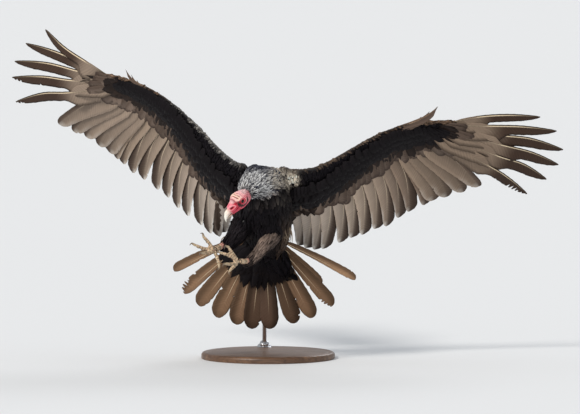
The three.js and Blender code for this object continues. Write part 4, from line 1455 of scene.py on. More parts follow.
def scatter(points, normals, areas, spacing, rng):
    """Indices of faces that get a feather, kept at least most of their spacing apart."""
    weight = areas / spacing**2
    wanted = int(weight.sum() * 2.2)
    picks = rng.choice(len(points), wanted, p=weight / weight.sum())
    jitter = rng.normal(0, 0.0012, (wanted, 3))
    jitter -= normals[picks] * (jitter * normals[picks]).sum(1, keepdims=True)
    spots = points[picks] + jitter
    gap = spacing[picks] * 0.78
    cell = float(gap.max())
    grid, kept = {}, []
    keys = np.floor(spots / cell).astype(int)
    for n in range(wanted):
        i, j, k = keys[n]
        around = [grid.get((i + a, j + b, k + c), ()) for a, b, c in product((-1, 0, 1), repeat=3)]
        if all(squared_gap(spots[n], spots[other]) >= gap[n] ** 2 for near in around for other in near):
            grid.setdefault((i, j, k), []).append(n)
            kept.append(n)
    return picks[kept], spots[kept]


def wing_place(wing, points):
    """For each point, its share along the wing and whether it is on the upper side."""
    t = np.linspace(0, 1, 90)
    lead = smooth_line(wing["lead"], t)
    half = smooth_line(WING_HALF_CHORDS, t)
    chord = unit(wing["chord"])
    middle = lead + wing["chord"] * half[:, None]
    flat = points[:, None] - middle[None]
    flat = flat - chord * (flat @ chord)[..., None]
    i = (flat**2).sum(2).argmin(1)
    return t[i], (points - middle[i]) @ wing["dorsal"] > 0


def feather_ways(wing, along):
    """The direction and length of the long feathers at a share along the wing."""
    shares = np.concatenate(quill_shares(wing))
    tips = np.vstack((wing["secondaries"], wing["primaries"]))
    reaches = read_off(along, shares, tips - smooth_line(quill_line(wing), shares))
    return unit(reaches), np.linalg.norm(reaches, axis=-1)


def chord_reach(wing, along, points):
    """How far points lie from the front edge, as a share of the way to the feather tips."""
    lead, half = smooth_line(wing["lead"], along), smooth_line(WING_HALF_CHORDS, along)
    _, span = feather_ways(wing, along)
    return ((points - lead) @ unit(wing["chord"])) / (span + 0.95 * half)


def wing_thinning(wing, along, reach):
    """How much of the arm's thickness is kept: all in front, and little where the quills start."""
    black = np.interp(along, wing["reach"][:, 0], wing["reach"][:, 1])
    return 1 - 0.72 * ramp(black - 0.10, black + 0.06, reach)


SLATE = np.array((0.024, 0.026, 0.046))
# painted sheen of the glossy ruff and shoulder feathers
SILVER_SHEEN = np.array((0.80, 0.79, 0.78))
OLIVE_SHEEN = np.array((0.56, 0.49, 0.40))
TAN = np.array((0.30, 0.20, 0.14))
CREAM = np.array((1.10, 0.95, 0.76))


def ruff_sheen_and_markings(points, normals):
    """How much silvery and brownish painted sheen, and how much tan and cream, the small feathers have round
    the ruff and shoulders.
    """
    silver_sheen = soft_spots(
        points, (1.2, (-62, -292, 497), (30, 60, 26)), (1, (-26, -275, 496), (30, 60, 30)),
        (0.8, (6, -250, 520), (26, 50, 18)), (1.2, (1, -255, 476), (11, 60, 9)),
        (0.6, (-45, -270, 524), (22, 50, 12)))
    silver_sheen *= 1 - soft_spots(points, (0.94, (-14, -225, 548), (66, 80, 31)))
    olive_sheen = soft_spots(
        points, (1, (38, -205, 533), (26, 50, 18)), (0.8, (34, -230, 494), (24, 60, 30)),
        (0.7, (14, -245, 515), (20, 60, 26)))
    tan = soft_spots(points, (1, (-20, -280, 456), (26, 50, 9)), (0.6, (10, -262, 470), (16, 50, 8)))
    cream = soft_spots(points, (5.0, (66, -185, 514), (12, 90, 10)))
    # all four are kept to surfaces facing the front, which is the lit side for the painted sheen
    seen = ramp(0.25, -0.35, normals[:, 1])
    return [np.maximum(value, 0) * seen for value in (silver_sheen, olive_sheen, tan, cream)]


def patches(points):
    return 0.5 + 0.5 * ripple(points, 0.05, 41)


def trunk_coat(points, normals):
    """Black feathers on the breast and belly, browner on the back and tan on the flanks."""
    t, _, down = nearest_on(TRUNK_LINE, points)
    back = ramp(0.1, -0.3, normals @ BODY_FRONT)
    brown = mix(BLACK * 1.3, (0.05, 0.036, 0.028), 0.5 * back + 0.1 * patches(points))
    flank = ramp(0.45, 0.85, normals @ BODY_SIDE) * ramp(0.3, 0.6, t)
    brown = mix(brown, TAN, 0.3 * flank)
    return dict(way=down, length=0.026 + 0.016 * t, width=0.010 + 0.005 * t, gap=0.0066 + 0.0024 * t,
                tint=BLACK, tip_tint=mix(BLACK, brown, 0.6), rim_tint=brown, lift=0.0030)


def neck_coat(points):
    """Small slate feathers that grow longer down the neck."""
    t, _, down = nearest_on(NECK_LINE, points)
    return dict(way=down, length=0.012 + 0.018 * t, width=0.0040 + 0.0030 * t, gap=0.0034 + 0.0019 * t,
                tint=SLATE * 0.25, tip_tint=SLATE * 0.7, rim_tint=SLATE * 1.8, lift=0.0028 + 0.0008 * t)


def tail_coat(points, normals):
    """Feathers that spill out from the rump over the roots of the tail, and the share along it."""
    t, _, down = nearest_on(TAIL_LINE, points)
    under = ramp(-0.1, 0.3, -(normals @ TAIL_DORSAL))
    brown = mix((0.035, 0.026, 0.02), BLACK * 1.2, under)
    spill = unit(down + BODY_SIDE * ((points - TAIL_ROOT) @ BODY_SIDE / 0.08)[:, None] * 0.8)
    return dict(way=spill, length=0.036 + 0.016 * t, width=0.014, gap=0.0082, tint=BLACK, tip_tint=brown,
                rim_tint=brown * 1.3, lift=0.004, hug=1 - 0.3 * ramp(0.3, 0.8, t)), t


def thigh_coat(side, points, normals):
    """Soft thin feathers of the thighs, with a painted dun light on the left thigh where it faces the light,
    fading down the thigh.
    """
    t, _, down = nearest_on(THIGH_LINES[side], points)
    # painted light: this dun is laid on where the thigh faces the light and fades out down the thigh
    lit_dun = (0.32, 0.235, 0.19) if side == "left" else (0.02, 0.016, 0.018)
    lit = ramp(-0.3, 0.5, normals @ unit((-0.2, -0.8, 0.3))) * (0.3 + 0.7 * patches(points))
    soft = mix(BLACK * 1.5, lit_dun, lit * (1 - 0.75 * ramp(0.35, 0.85, t)))
    return dict(way=down, length=0.026, width=0.0065, gap=0.0054, tint=soft * 0.5, tip_tint=soft,
                rim_tint=soft * 1.3, lift=0.0026, hug=0.85)


def wing_coat(side, wing, points):
    """Small feathers of the arm, pale along its front edge, partly as a painted highlight, and whether each
    point keeps one.
    """
    t, above = wing_place(wing, points)
    reach = chord_reach(wing, t, points)
    size = ramp(0, 0.45, reach)
    edge = np.maximum((1 - ramp(0.008, 0.035, reach)) * ramp(0.08, 0.16, t), ramp(0.86, 0.9, t) * ~above)
    # the pale front edge is partly the feathers' own colour and partly a painted highlight, silvery on the
    # right wing; towards the hand it turns brown
    pale = (0.30, 0.21, 0.15) if side == "left" else (0.55, 0.52, 0.48)
    pale = mix(pale, (0.36, 0.23, 0.15), ramp(0.5, 0.6, t))
    patchy = patches(points)
    under_tip = mix(BLACK * 1.3, (0.030, 0.020, 0.016), 0.6 * patchy * size)
    upper_tip = mix((0.022, 0.016, 0.013), (0.04, 0.029, 0.022), patchy)
    tip = np.where(above[:, None], upper_tip, under_tip)
    rim = np.where(above[:, None], mix(upper_tip, (0.10, 0.072, 0.052), 0.6), under_tip * 1.25)
    lead = wing["lead"]
    front_way = unit(smooth_line(lead, np.minimum(t + 0.02, 1)) - smooth_line(lead, t - 0.02))
    black, brown = (np.interp(t, wing["reach"][:, 0], wing["reach"][:, k]) for k in (1, 2))
    return dict(
        way=feather_ways(wing, t)[0] + 1.5 * front_way * edge[:, None],
        length=0.012 + 0.024 * size, width=0.007 + 0.007 * size - 0.0022 * edge,
        gap=0.0042 + 0.0044 * size, lift=0.0018 - 0.001 * edge, hug=1 - 0.5 * ramp(0.2, 0.5, reach),
        tint=mix(BLACK, pale * 0.35, edge), tip_tint=mix(tip, pale, 0.75 * edge),
        rim_tint=mix(rim, pale, 0.75 * edge),
    ), reach < np.where(above, brown + 0.05, black - 0.01)


def region_fields(owner_names, points, normals):
    """Lie, length, width, spacing, standing height and colours of the coat at each point."""
    count = len(points)
    usual = {"length": 0.03, "width": 0.018, "gap": 0.011, "lift": 0.003, "hug": 1.0}
    fields = {key: np.full(count, value) for key, value in usual.items()}
    fields |= {key: np.tile(BLACK, (count, 1)) for key in ("tint", "tip_tint", "rim_tint")}
    fields["way"] = np.zeros((count, 3))
    keep = np.ones(count, bool)

    def put(mask, values):
        for key, value in values.items():
            value = np.asarray(value, float)
            fields[key][mask] = value[mask] if value.shape[:1] == (count,) else value

    put(owner_names == "trunk", trunk_coat(points, normals))
    put(owner_names == "neck", neck_coat(points))
    rump = owner_names == "tail_coverts"
    values, t = tail_coat(points, normals)
    put(rump, values)
    keep &= ~rump | (t < 0.8)
    for side in THIGH_LINES:
        put(owner_names == f"leg_{side}_thigh", thigh_coat(side, points, normals))
    for side, wing in WINGS.items():
        on_wing = np.char.startswith(owner_names, f"wing_{side}_")
        values, kept = wing_coat(side, wing, points)
        put(on_wing, values)
        keep &= ~on_wing | kept

    breast = np.where(owner_names == "trunk", 0.12 + 0.88 * ramp(480, 506, points[:, 2] / MM), 1.0)
    whole = (0, 0, 0, 0.9)  # how far each tone also covers the feathers' roots
    # the first two tones are painted sheen, brightest on the rims; tan and cream are the feathers' own
    # colours
    for share, tone, root in zip(ruff_sheen_and_markings(points, normals), (SILVER_SHEEN, OLIVE_SHEEN, TAN, CREAM), whole):
        uneven = np.clip(share * breast * (0.95 + 1.1 * ripple(points, 0.009, 43)), 0, 1)
        fields["tint"] = mix(fields["tint"], tone * 0.8, root * uneven)
        fields["tip_tint"] = mix(fields["tip_tint"], tone * 0.8, 0.95 * uneven)
        fields["rim_tint"] = mix(fields["rim_tint"], tone * 1.25, uneven)
    return fields, keep


def skin_samples():
    """Centres, normals, areas, owners and map places of the skin's feathered faces."""
    mesh = SKIN["object"].data
    centres, normals = read(mesh.polygons, "center"), read(mesh.polygons, "normal")
    areas = read(mesh.polygons, "area", 1)
    starts = read(mesh.polygons, "loop_start", 1, np.int32)
    uvs = read(mesh.uv_layers["OFBake"].uv, "vector", 2)
    owners, _ = on_flesh(centres)
    keep = owners < len(FEATHERED_NODES)
    names = np.array(FLESH_NODES)[owners]
    middle = (uvs[starts] + uvs[starts + 2]) / 2
    return centres[keep], normals[keep], areas[keep], names[keep], middle[keep]


def follow_skin(tree, spots, normals, way, length, lift, hug):
    """Middle and tip of each feather, laid along the skin as far as hug asks."""
    middles = spots + way * (length * 0.5)[:, None]
    tips = spots + way * length[:, None]
    for places, rise, share in ((middles, 1.5, 0.5), (tips, 1.0, 1.0)):
        for n in range(len(places)):
            near, normal, _, _ = tree.find_nearest(Vector(places[n]))
            target = np.array(near + normal * lift[n] * rise)
            free = places[n] + normals[n] * lift[n] * rise
            move = target - free
            size = np.linalg.norm(move)
            limit = length[n] * 0.45 * share
            if size > limit:
                move *= limit / size
            places[n] = free + move * hug[n]
    return middles, tips


COAT_PARTS = {
    "ruff": ("neck",),
    "body_coat": ("trunk",),
    "tail_cover_coat": ("tail_coverts",),
    "thigh_coat": ("leg_left_thigh", "leg_right_thigh"),
    "left_wing_coat": tuple(f"wing_left_{p}" for p in ("upper_arm", "forearm", "hand")),
    "right_wing_coat": tuple(f"wing_right_{p}" for p in ("upper_arm", "forearm", "hand")),
}


def build_coat():
    rng = np.random.default_rng(SEED + 11)
    centres, normals, areas, names, uvs = skin_samples()
    fields, keep = region_fields(names, centres, normals)
    centres, normals, areas, names, uvs = (part[keep] for part in (centres, normals, areas, names, uvs))
    fields = {key: value[keep] for key, value in fields.items()}
    picks, spots = scatter(centres, normals, areas, fields["gap"], rng)
    mesh = SKIN["object"].data
    tree = BVHTree.FromPolygons([v.co for v in mesh.vertices], [tuple(p.vertices) for p in mesh.polygons])
    each = {key: value[picks] for key, value in fields.items()}
    way, normal = each["way"], normals[picks]
    turn = rng.normal(0, 0.13, len(picks))[:, None]
    way = unit(way - normal * (way * normal).sum(1, keepdims=True))
    way = unit(way + np.cross(normal, way) * turn)
    size = rng.uniform(0.85, 1.18, len(picks))
    length, width = each["length"] * size, each["width"] * size
    lift = each["lift"] * rng.uniform(0.7, 1.3, len(picks))
    middle, tip = follow_skin(tree, spots, normal, way, length, lift, each["hug"])
    level = rng.uniform(0.7, 1.35, (len(picks), 1))
    whole = dict(
        root=spots - normal * 0.0005, middle=middle, tip=tip, normal=normal, length=length, width=width,
        uv=uvs[picks], **{key: each[key] * level for key in ("tint", "tip_tint", "rim_tint")},
    )
    for part, nodes in COAT_PARTS.items():
        mask = np.isin(names[picks], nodes)
        coat_mesh(part, {key: value[mask] for key, value in whole.items()})


def wing_path(wing, at, reach, out):
    """A place over the wing, at a share along it and a share of the way from front edge to feather tips.

    out is -1 for the underside and 1 for the upper side.
    """
    lead = smooth_line(wing["lead"], at)[0]
    half = smooth_line(WING_HALF_CHORDS, at)[0]
    chord = unit(wing["chord"])
    root = smooth_line(quill_line(wing), at)[0]
    way, span = feather_ways(wing, np.array([at]))
    way, span = way[0], span[0]
    near = np.linalg.norm(root - lead)
    run = reach * (near + span)
    flat = np.sqrt(np.clip(1 - ((run - half) / half) ** 2, 0, 1)) if run < 2 * half else 0.0
    thinning = wing_thinning(wing, np.array([at]), np.array([reach]))[0]
    arm = flat * smooth_line(WING_THICKNESS, at)[0] * thinning
    if run <= near:
        return lead + chord * run + wing["dorsal"] * out * (arm + 0.001), way
    f = (run - near) / span
    bow = 2 * f * (1 - f) * 0.05 * span
    rise = max(arm, (bow if out < 0 else -bow) + 0.0025)
    return root + way * (run - near) + wing["dorsal"] * out * rise, way


def covert_row(wing, first, last, count, reach, length, width, out, raise_by, tones, shape, rng, ragged=0.05):
    """Feather specs for one row of coverts, with their tips at a reach that changes along the wing.

    shape makes their outline: plain_profile for round tips, plume_profile for drawn-out ones.
    """
    specs = []
    base, outer_tone, tip_tone = np.array(tones)
    for k in range(count):
        at = first + (last - first) * k / (count - 1) + rng.normal(0, 0.003)
        far = reach(at) * (1 + rng.normal(0, ragged))
        _, span = feather_ways(wing, np.array([at]))
        size = length * rng.uniform(0.9, 1.1)
        whole = span[0] + smooth_line(WING_HALF_CHORDS, at)[0]
        near = max(far - size / whole, 0.03)
        start, _ = wing_path(wing, at, near, out)
        middle, _ = wing_path(wing, at, (near + far) / 2, out)
        end, _ = wing_path(wing, at, far, out)
        lift = wing["dorsal"] * out
        start, middle = start - lift * 0.001, middle + lift * (raise_by + 0.0015)
        end = end + lift * raise_by * 0.5
        level = rng.uniform(0.75, 1.25)
        specs.append(dict(
            line=np.array((start, middle, end)), dorsal=wing["dorsal"], camber=1.5 * out, **SMALL_FEATHER,
            fan=-wing["outward"] * np.cross(wing["dorsal"], end - start),
            profile=shape(width * 0.58 * rng.uniform(0.9, 1.1), width * 0.42, size),
            colours=covert_colours(base * level, outer_tone, tip_tone),
            shaft=0.0005, shaft_tones=(base * level * 1.5 + 0.004, base * 0.8),
        ))
    return specs


def covert_colours(base, outer_tone, tip_tone):
    """Colours of a covert or a plume, the same on both sides."""

    def colours(s, k, notch, rng):
        tint = layered(base, (
            (outer_tone, 0.7 * ramp(0.0, 0.6, k)),
            (tip_tone, 0.8 * ramp(0.78, 1.0, s + 0.1 * np.abs(k))),
            (base * 1.35, 0.5 * bump_at(k, -0.5, 0.25) * (1 - ramp(0.7, 0.95, s))),
        ))
        return tint, tint
    return colours


BLACK_COVERT = ((0.0055, 0.004, 0.005), (0.005, 0.0035, 0.0045), (0.010, 0.0065, 0.006))
DUSKY_COVERT = ((0.022, 0.014, 0.011), (0.012, 0.008, 0.007), (0.016, 0.010, 0.008))
BROWN_COVERT = ((0.14, 0.102, 0.08), (0.07, 0.046, 0.034), (0.05, 0.033, 0.026))
UPPER_COVERT = ((0.022, 0.016, 0.013), (0.016, 0.012, 0.01), (0.045, 0.032, 0.024))


def build_coverts(side):
    """The larger covering feathers over the roots of the long ones, below and above the wing."""
    wing = WINGS[side]
    rng = np.random.default_rng(SEED + (21 if side == "left" else 22))
    table = wing["reach"]

    def black(at):
        return np.interp(at, table[:, 0], table[:, 1])

    def brown(at):
        return np.interp(at, table[:, 0], table[:, 2])

    def middle(at):
        return brown(at) * 0.5 + black(at) * 0.5

    rows = [
        (0.10, 0.90, 38, brown, 0.070, 0.032, -1, 0.0010, BROWN_COVERT, plain_profile),
        (0.11, 0.87, 44, middle, 0.062, 0.028, -1, 0.0022, DUSKY_COVERT, plume_profile),
        (0.08, 0.84, 50, black, 0.052, 0.025, -1, 0.0032, BLACK_COVERT, plume_profile),
        (0.09, 0.82, 50, lambda at: black(at) * 0.8, 0.048, 0.023, -1, 0.0040, BLACK_COVERT, plume_profile),
        (0.10, 0.80, 50, lambda at: black(at) * 0.58, 0.042, 0.021, -1, 0.0036, BLACK_COVERT, plume_profile),
        (0.10, 0.85, 34, lambda at: brown(at) + 0.08, 0.080, 0.036, 1, 0.0010, UPPER_COVERT, plain_profile),
        (0.10, 0.84, 38, lambda at: brown(at) - 0.04, 0.060, 0.028, 1, 0.0020, UPPER_COVERT, plain_profile),
    ]
    feathers = [spec for row in rows for spec in covert_row(wing, *row, rng)]
    feather_piece(f"{side}_coverts", feathers, rng, "plumage", columns=6)


# ------------------------------------------------------------------ head, feet, stand and stage

def extruded_loft(name, rings):
    """A closed form extruded ring by ring in edit mode, each ring's corners then set to their places."""
    deselect_all()
    sides = len(rings[0])
    bpy.ops.mesh.primitive_circle_add(vertices=sides, radius=0.01, fill_type="NGON")
    obj = bpy.context.object
    obj.name = obj.data.name = name
    bpy.ops.object.mode_set(mode="EDIT")
    for _ in rings[1:]:
        bpy.ops.mesh.extrude_region_move(TRANSFORM_OT_translate={"value": (0, 0, 0.01)})
    bpy.ops.object.mode_set(mode="OBJECT")
    obj.matrix_world.identity()
    # extruding doesn't keep the corners in order, so each is told by its place
    x, y, z = coordinates_of(obj.data).T
    ring = np.round(z / 0.01).astype(int)
    side = np.round(np.arctan2(-x, y) / (2 * math.pi) * sides).astype(int) % sides
    set_coordinates(obj.data, np.array(rings)[ring, side])
    with editing(obj):
        bpy.ops.mesh.normals_make_consistent(inside=False)
    return obj


def head_ring(x, half, top, bottom, sides, pinch):
    """A ring across the head's length. pinch under 1 draws its top into a ridge."""
    turn = np.arange(sides) * 2 * math.pi / sides
    y = half * np.cos(turn) * (1 - (1 - pinch) * np.clip(np.sin(turn), 0, 1))
    z = (top + bottom) / 2 + (top - bottom) / 2 * np.sin(turn)
    ring = np.stack((np.full(sides, float(x)), y, z), -1)
    return ring * MM @ HEAD_AXES + HEAD_AT


def hook_colours(p):
    ivory = mix((0.88, 0.66, 0.55), (0.90, 0.86, 0.76), ramp(42, 58, p[:, 0] + 2 * ripple(p, 9.0, 52)))
    return mix(ivory, (0.70, 0.22, 0.20), 0.8 * (1 - ramp(37, 43, p[:, 0] + 1.5 * ripple(p, 7.0, 51))))


def jaw_colours(p):
    return mix((0.55, 0.22, 0.18), (0.70, 0.55, 0.42), ramp(38, 45, p[:, 0]))


def build_bill_part(name, node, rows, rings, sides, pinch, colours):
    """Half a bill, from rows of place along the head, half width, top and bottom."""
    line = smooth_line(rows, np.linspace(0, 1, rings))
    part = extruded_loft(name, [head_ring(*row, sides, pinch) for row in line])
    apply_modifier(part, "SUBSURF", levels=2, render_levels=2)
    paint(part.data, colours(on_head(coordinates_of(part.data))))
    finish_piece(part, "bill", (node,))


def build_bill():
    upper = ((36.5, 7.4, 8.3, -8.6), (42, 7.5, 8.4, -9.2), (48, 7.1, 6.8, -9.8), (54, 6.0, 2.9, -11.2),
             (59, 4.5, -3.4, -14.2), (61.8, 2.8, -10.0, -18.0), (62.0, 1.0, -16.0, -20.6))
    lower = ((35, 5.8, -8.4, -13.9), (42, 5.4, -8.8, -13.8), (48, 4.4, -9.4, -13.7), (53, 3.1, -10.4, -13.7),
             (56.5, 1.2, -11.9, -13.6))
    build_bill_part("bill_hook", "bill_upper", upper, 12, 20, 0.72, hook_colours)
    build_bill_part("bill_jaw", "bill_lower", lower, 9, 18, 1.0, jaw_colours)


def build_eyes():
    for side, name in ((1, "left"), (-1, "right")):
        deselect_all()
        bpy.ops.mesh.primitive_uv_sphere_add(segments=40, ring_count=28, radius=1)
        eye = bpy.context.object
        eye.name = eye.data.name = f"{name}_eyeball"
        ball = coordinates_of(eye.data)
        out = ball[:, 2]  # the ball's pole looks out of the head, a little forwards
        bulge = 1 + 0.07 * ramp(0.80, 0.96, out)
        local = ball * bulge[:, None] * EYE["radius"]
        gaze = unit(np.array((0.32, side * 0.94, 0.08)))
        level = unit(np.cross(gaze, (0, 0, 1)))
        turned = local[:, :1] * level + local[:, 1:2] * np.cross(gaze, level) + local[:, 2:] * gaze
        turned += (EYE["x"], side * EYE["y"], EYE["z"])
        set_coordinates(eye.data, turned * MM @ HEAD_AXES + HEAD_AT)
        with editing(eye):
            bpy.ops.mesh.normals_make_consistent(inside=False)
        colour = mix((0.003, 0.002, 0.002), (0.045, 0.02, 0.012), ramp(0.90, 0.87, out))
        colour = mix(colour, (0.015, 0.009, 0.007), ramp(0.80, 0.72, out))
        paint(eye.data, colour)
        finish_piece(eye, "eye", (f"eye_{name}",))


CLAW_SIDES = 12
BRISTLES = 520


def build_claws():
    for side in TOES:
        for number, (_, end, middle, tip) in enumerate(TOES[side], 1):
            start = end + (end - middle) * 0.35
            tip = middle + (tip - middle) * 0.8
            line = smooth_line(np.array((start, (end + middle) / 2, middle, tip)), np.linspace(0, 1, 11))
            ways = unit(np.gradient(line, axis=0))
            curl = unit(np.cross(unit(middle - end), unit(tip - middle)) + 1e-6)
            turn = np.arange(CLAW_SIDES)[:, None] * 2 * math.pi / CLAW_SIDES
            rings = []
            for k, (at, way) in enumerate(zip(line, ways)):
                radius = 0.0040 * (1 - k / (len(line) - 1)) ** 0.8 + 0.00025
                ring = curl * np.cos(turn) * 0.82 + np.cross(way, curl) * np.sin(turn)
                rings.append(at + ring * radius)
            claw = extruded_loft(f"claw_{side}_foot_{number}", rings)
            apply_modifier(claw, "SUBSURF", levels=1, render_levels=1)
            co = coordinates_of(claw.data)
            share = np.linalg.norm(co - start, axis=1) / np.linalg.norm(tip - start)
            paint(claw.data, mix((0.50, 0.38, 0.24), (0.13, 0.09, 0.06), ramp(0.3, 0.95, share)))
            finish_piece(claw, "claws", (f"claw_{side}_{number}",))


def build_bristles():
    """Sparse black bristles before the eyes and hair-like feathers on the crown and nape."""
    rng = np.random.default_rng(SEED + 31)
    mesh = SKIN["object"].data
    co, normals = coordinates_of(mesh), normals_of(mesh)
    p = on_head(co)
    near = np.linalg.norm(co - HEAD_AT, axis=1) < 0.055
    x, y, z = p.T
    lores = near * bump_at(x, 12, 5) * bump_at(z, 2, 5) * ramp(5, 9, np.abs(y))
    nape = near * ramp(-12, -26, x) * ramp(-14, 2, z) * 0.5
    chance = (lores + nape) * (x < 26)
    picks = rng.choice(len(co), BRISTLES, replace=False, p=chance / chance.sum())
    short, long = (rng.uniform(0.0014, longest, BRISTLES) for longest in (0.003, 0.0036))
    length = np.where(lores[picks] > 0.2, short, long)
    normal = normals[picks]
    way = unit(normal * 0.7 - HEAD_FORWARD * 0.5 + rng.normal(0, 0.25, (BRISTLES, 3)))
    root = co[picks] - normal * 0.0003
    tip = root + way * length[:, None]
    black = np.tile((0.012, 0.010, 0.010), (BRISTLES, 1))
    coat_mesh("face_bristles", dict(
        root=root, middle=(root + tip) / 2 + normal * 0.0003, tip=tip, normal=normal, length=length,
        width=np.full(BRISTLES, 0.00035), tint=black, tip_tint=black, rim_tint=black,
        uv=rng.uniform(0.01, 0.99, (BRISTLES, 2)),
    ))


def lathe_profile(name, profile, sides):
    """A turned form: a profile of (radius, height) pairs spun round the upright axis."""
    rings = []
    turn = np.arange(sides) * 2 * math.pi / sides
    for radius, height in profile:
        rings.append(np.stack((radius * np.cos(turn), radius * np.sin(turn), np.full(sides, height)), -1))
    return extruded_loft(name, rings)


def finish_turned(piece, finish, node, angle):
    """Finishes a turned piece, with edges over the angle kept sharp."""
    finish_piece(piece, finish, (node,), smooth=False)
    make_active(piece)
    bpy.ops.object.shade_smooth_by_angle(angle=math.radians(angle))


def build_base():
    """The round wooden base, with a rounded upper edge and a groove turned into its top."""
    radius, height, side_top, bend = STAND_BASE_RADIUS, STAND_BASE_HEIGHT, 0.0095, 0.0085
    profile = [(radius - 0.002, 0.0), (radius, 0.0015), (radius, side_top)]
    for k in range(1, 7):
        angle = k / 6 * math.pi / 2
        profile.append((radius - bend + bend * math.cos(angle), side_top + bend * math.sin(angle)))
    profile += [(radius - 0.016, height), (radius - 0.0175, height - 0.0008), (radius - 0.019, height),
                (radius - 0.021, height), *((radius * share, height) for share in (0.6, 0.25, 0.03))]
    base = lathe_profile("round_base", profile, 96)
    paint(base.data, np.ones((len(base.data.vertices), 3)))
    finish_turned(base, "wood", "stand_base", 35)


def build_rod():
    """The steel rod that leans up to the bird, and the collar at its foot."""
    lean = unit(ROD_TOP - ROD_FOOT)
    across = unit(np.cross(lean, (1, 0, 0)))
    axes = across, np.cross(lean, across), lean
    length = float(np.linalg.norm(ROD_TOP - ROD_FOOT))
    rod = [(0.0056, -0.004), (0.006, 0.0), (0.006, length - 0.03), (0.006, length - 0.012)]
    collar = [(0.0063, 0.0165), (0.0105, 0.0165), (0.0118, 0.0155), (0.0125, 0.014), (0.0125, 0.008),
              (0.0185, 0.0035), (0.0198, 0.002), (0.0198, -0.002), (0.0063, -0.002)]
    for name, node, profile, sides in (("leaning_rod", "stand_rod", rod, 32),
                                       ("rod_collar", "stand_collar", collar, 48)):
        piece = lathe_profile(name, profile, sides)
        co = coordinates_of(piece.data)
        co = ROD_FOOT + co[:, :1] * axes[0] + co[:, 1:2] * axes[1] + co[:, 2:] * axes[2]
        if name == "rod_collar":
            co[:, 2] = np.maximum(co[:, 2], STAND_BASE_HEIGHT + 0.0002)
        set_coordinates(piece.data, co)
        finish_turned(piece, "steel", node, 40)


def add_sun(name, strength, angle, towards, colour):
    light = bpy.data.lights.new(name, "SUN")
    light.energy, light.angle, light.color = strength, math.radians(angle), colour
    obj = bpy.data.objects.new(name, light)
    obj.rotation_euler = Vector(towards).to_track_quat("-Z", "Y").to_euler()
    bpy.context.scene.collection.objects.link(obj)


def build_stage(settings):
    deselect_all()
    bpy.ops.mesh.primitive_circle_add(vertices=64, radius=150, fill_type="NGON")
    floor = bpy.context.object
    floor.name = floor.data.name = "studio_floor"
    material, tree, shader = new_material("pale_floor")
    set_inputs(tree, shader, {
        "Base Color": (*settings.floor_colour, 1), "Roughness": 0.9, "Specular IOR Level": 0.1})
    floor.data.materials.append(material)

    scene = bpy.context.scene
    scene.view_settings.view_transform = "Standard"
    world = bpy.data.worlds.new("studio_air")
    world.use_nodes = True
    background = next(n for n in world.node_tree.nodes if n.type == "BACKGROUND")
    set_inputs(world.node_tree, background, {
        "Color": (0.93, 0.96, 1.0, 1), "Strength": settings.air_strength})
    scene.world = world
    add_sun("key_light", settings.key_strength, 12, (0.55, 0.62, -0.62), (1.0, 0.96, 0.9))
    add_sun("front_fill", settings.fill_strength, 40, (-0.2, 0.95, 0.15), (1.0, 0.98, 0.96))
    add_sun("back_light", 0.6, 25, (-0.3, -0.75, -0.55), (0.95, 0.97, 1.0))

    camera = bpy.data.cameras.new("studio_camera")
    camera.lens, camera.sensor_width = CAMERA_LENS, SENSOR_WIDTH
    camera.clip_start, camera.clip_end = 1.0, 400.0
    eye = bpy.data.objects.new("studio_camera", camera)
    back = np.array((0, -math.cos(CAMERA_ELEVATION), math.sin(CAMERA_ELEVATION)))
    eye.location = CAMERA_TARGET + back * CAMERA_DISTANCE
    eye.rotation_euler = Vector(-back).to_track_quat("-Z", "Y").to_euler()
    scene.collection.objects.link(eye)
    scene.camera = eye


# ------------------------------------------------------------------ add-on classes

def colour_setting(name, description, default):
    return bpy.props.FloatVectorProperty(
        name=name, description=description, default=default, size=3, min=0, max=1, subtype="COLOR")


def strength_setting(name, description, default, highest=10):
    return bpy.props.FloatProperty(name=name, description=description, default=default, min=0, max=highest)


class VulturePlumage(bpy.types.PropertyGroup):
    coat_depth: bpy.props.FloatProperty(
        name="Coat depth", description="How far the skin lies under the small feathers", default=0.006,
        min=0.001, max=0.01, unit="LENGTH", precision=4)


class VultureHead(bpy.types.PropertyGroup):
    red: colour_setting("Red skin", "Main colour of the bare head", (0.68, 0.10, 0.155))
    # deep also gives, darkened, the painted shade in the head's hollows and nostril pit
    deep: colour_setting("Deep red", "Colour round the nostril and in hollows", (0.62, 0.008, 0.032))
    # pale also gives the painted highlight on top of the snout and part of the pale crown
    pale: colour_setting("Pale folds", "Colour of the raised folds of skin", (0.90, 0.55, 0.55))


class VultureStage(bpy.types.PropertyGroup):
    floor_colour: colour_setting("Floor", "Colour of the plain floor", (0.78, 0.79, 0.8))
    air_strength: strength_setting("Air", "Strength of the light from all round", 0.55, 5)
    key_strength: strength_setting("Key light", "Strength of the soft light from high on the left", 2.2)
    fill_strength: strength_setting("Fill light", "Strength of the light from the front", 0.8)


class VULTURE_OT_materials(bpy.types.Operator):
    """Makes the finishes of feathers, skin, horn, eyes, wood and steel"""
    bl_idname = "vulture.materials"
    bl_label = "Finishes"

    def execute(self, context):
        build_materials()
        return {"FINISHED"}


class VULTURE_OT_skin(bpy.types.Operator):
    """Makes the one skin of the head, body, arms, legs and toes"""
    bl_idname = "vulture.skin"
    bl_label = "Skin"

    def execute(self, context):
        head = context.scene.vulture_head
        tones = {"red": head.red[:], "deep": head.deep[:], "pale": head.pale[:]}
        build_skin(context.scene.vulture_plumage.coat_depth, tones)
        return {"FINISHED"}


class VULTURE_OT_head(bpy.types.Operator):
    """Makes the bill, the eyes and the bristles of the face"""
    bl_idname = "vulture.head"
    bl_label = "Bill, eyes and bristles"

    def execute(self, context):
        build_bill()
        build_eyes()
        build_bristles()
        return {"FINISHED"}


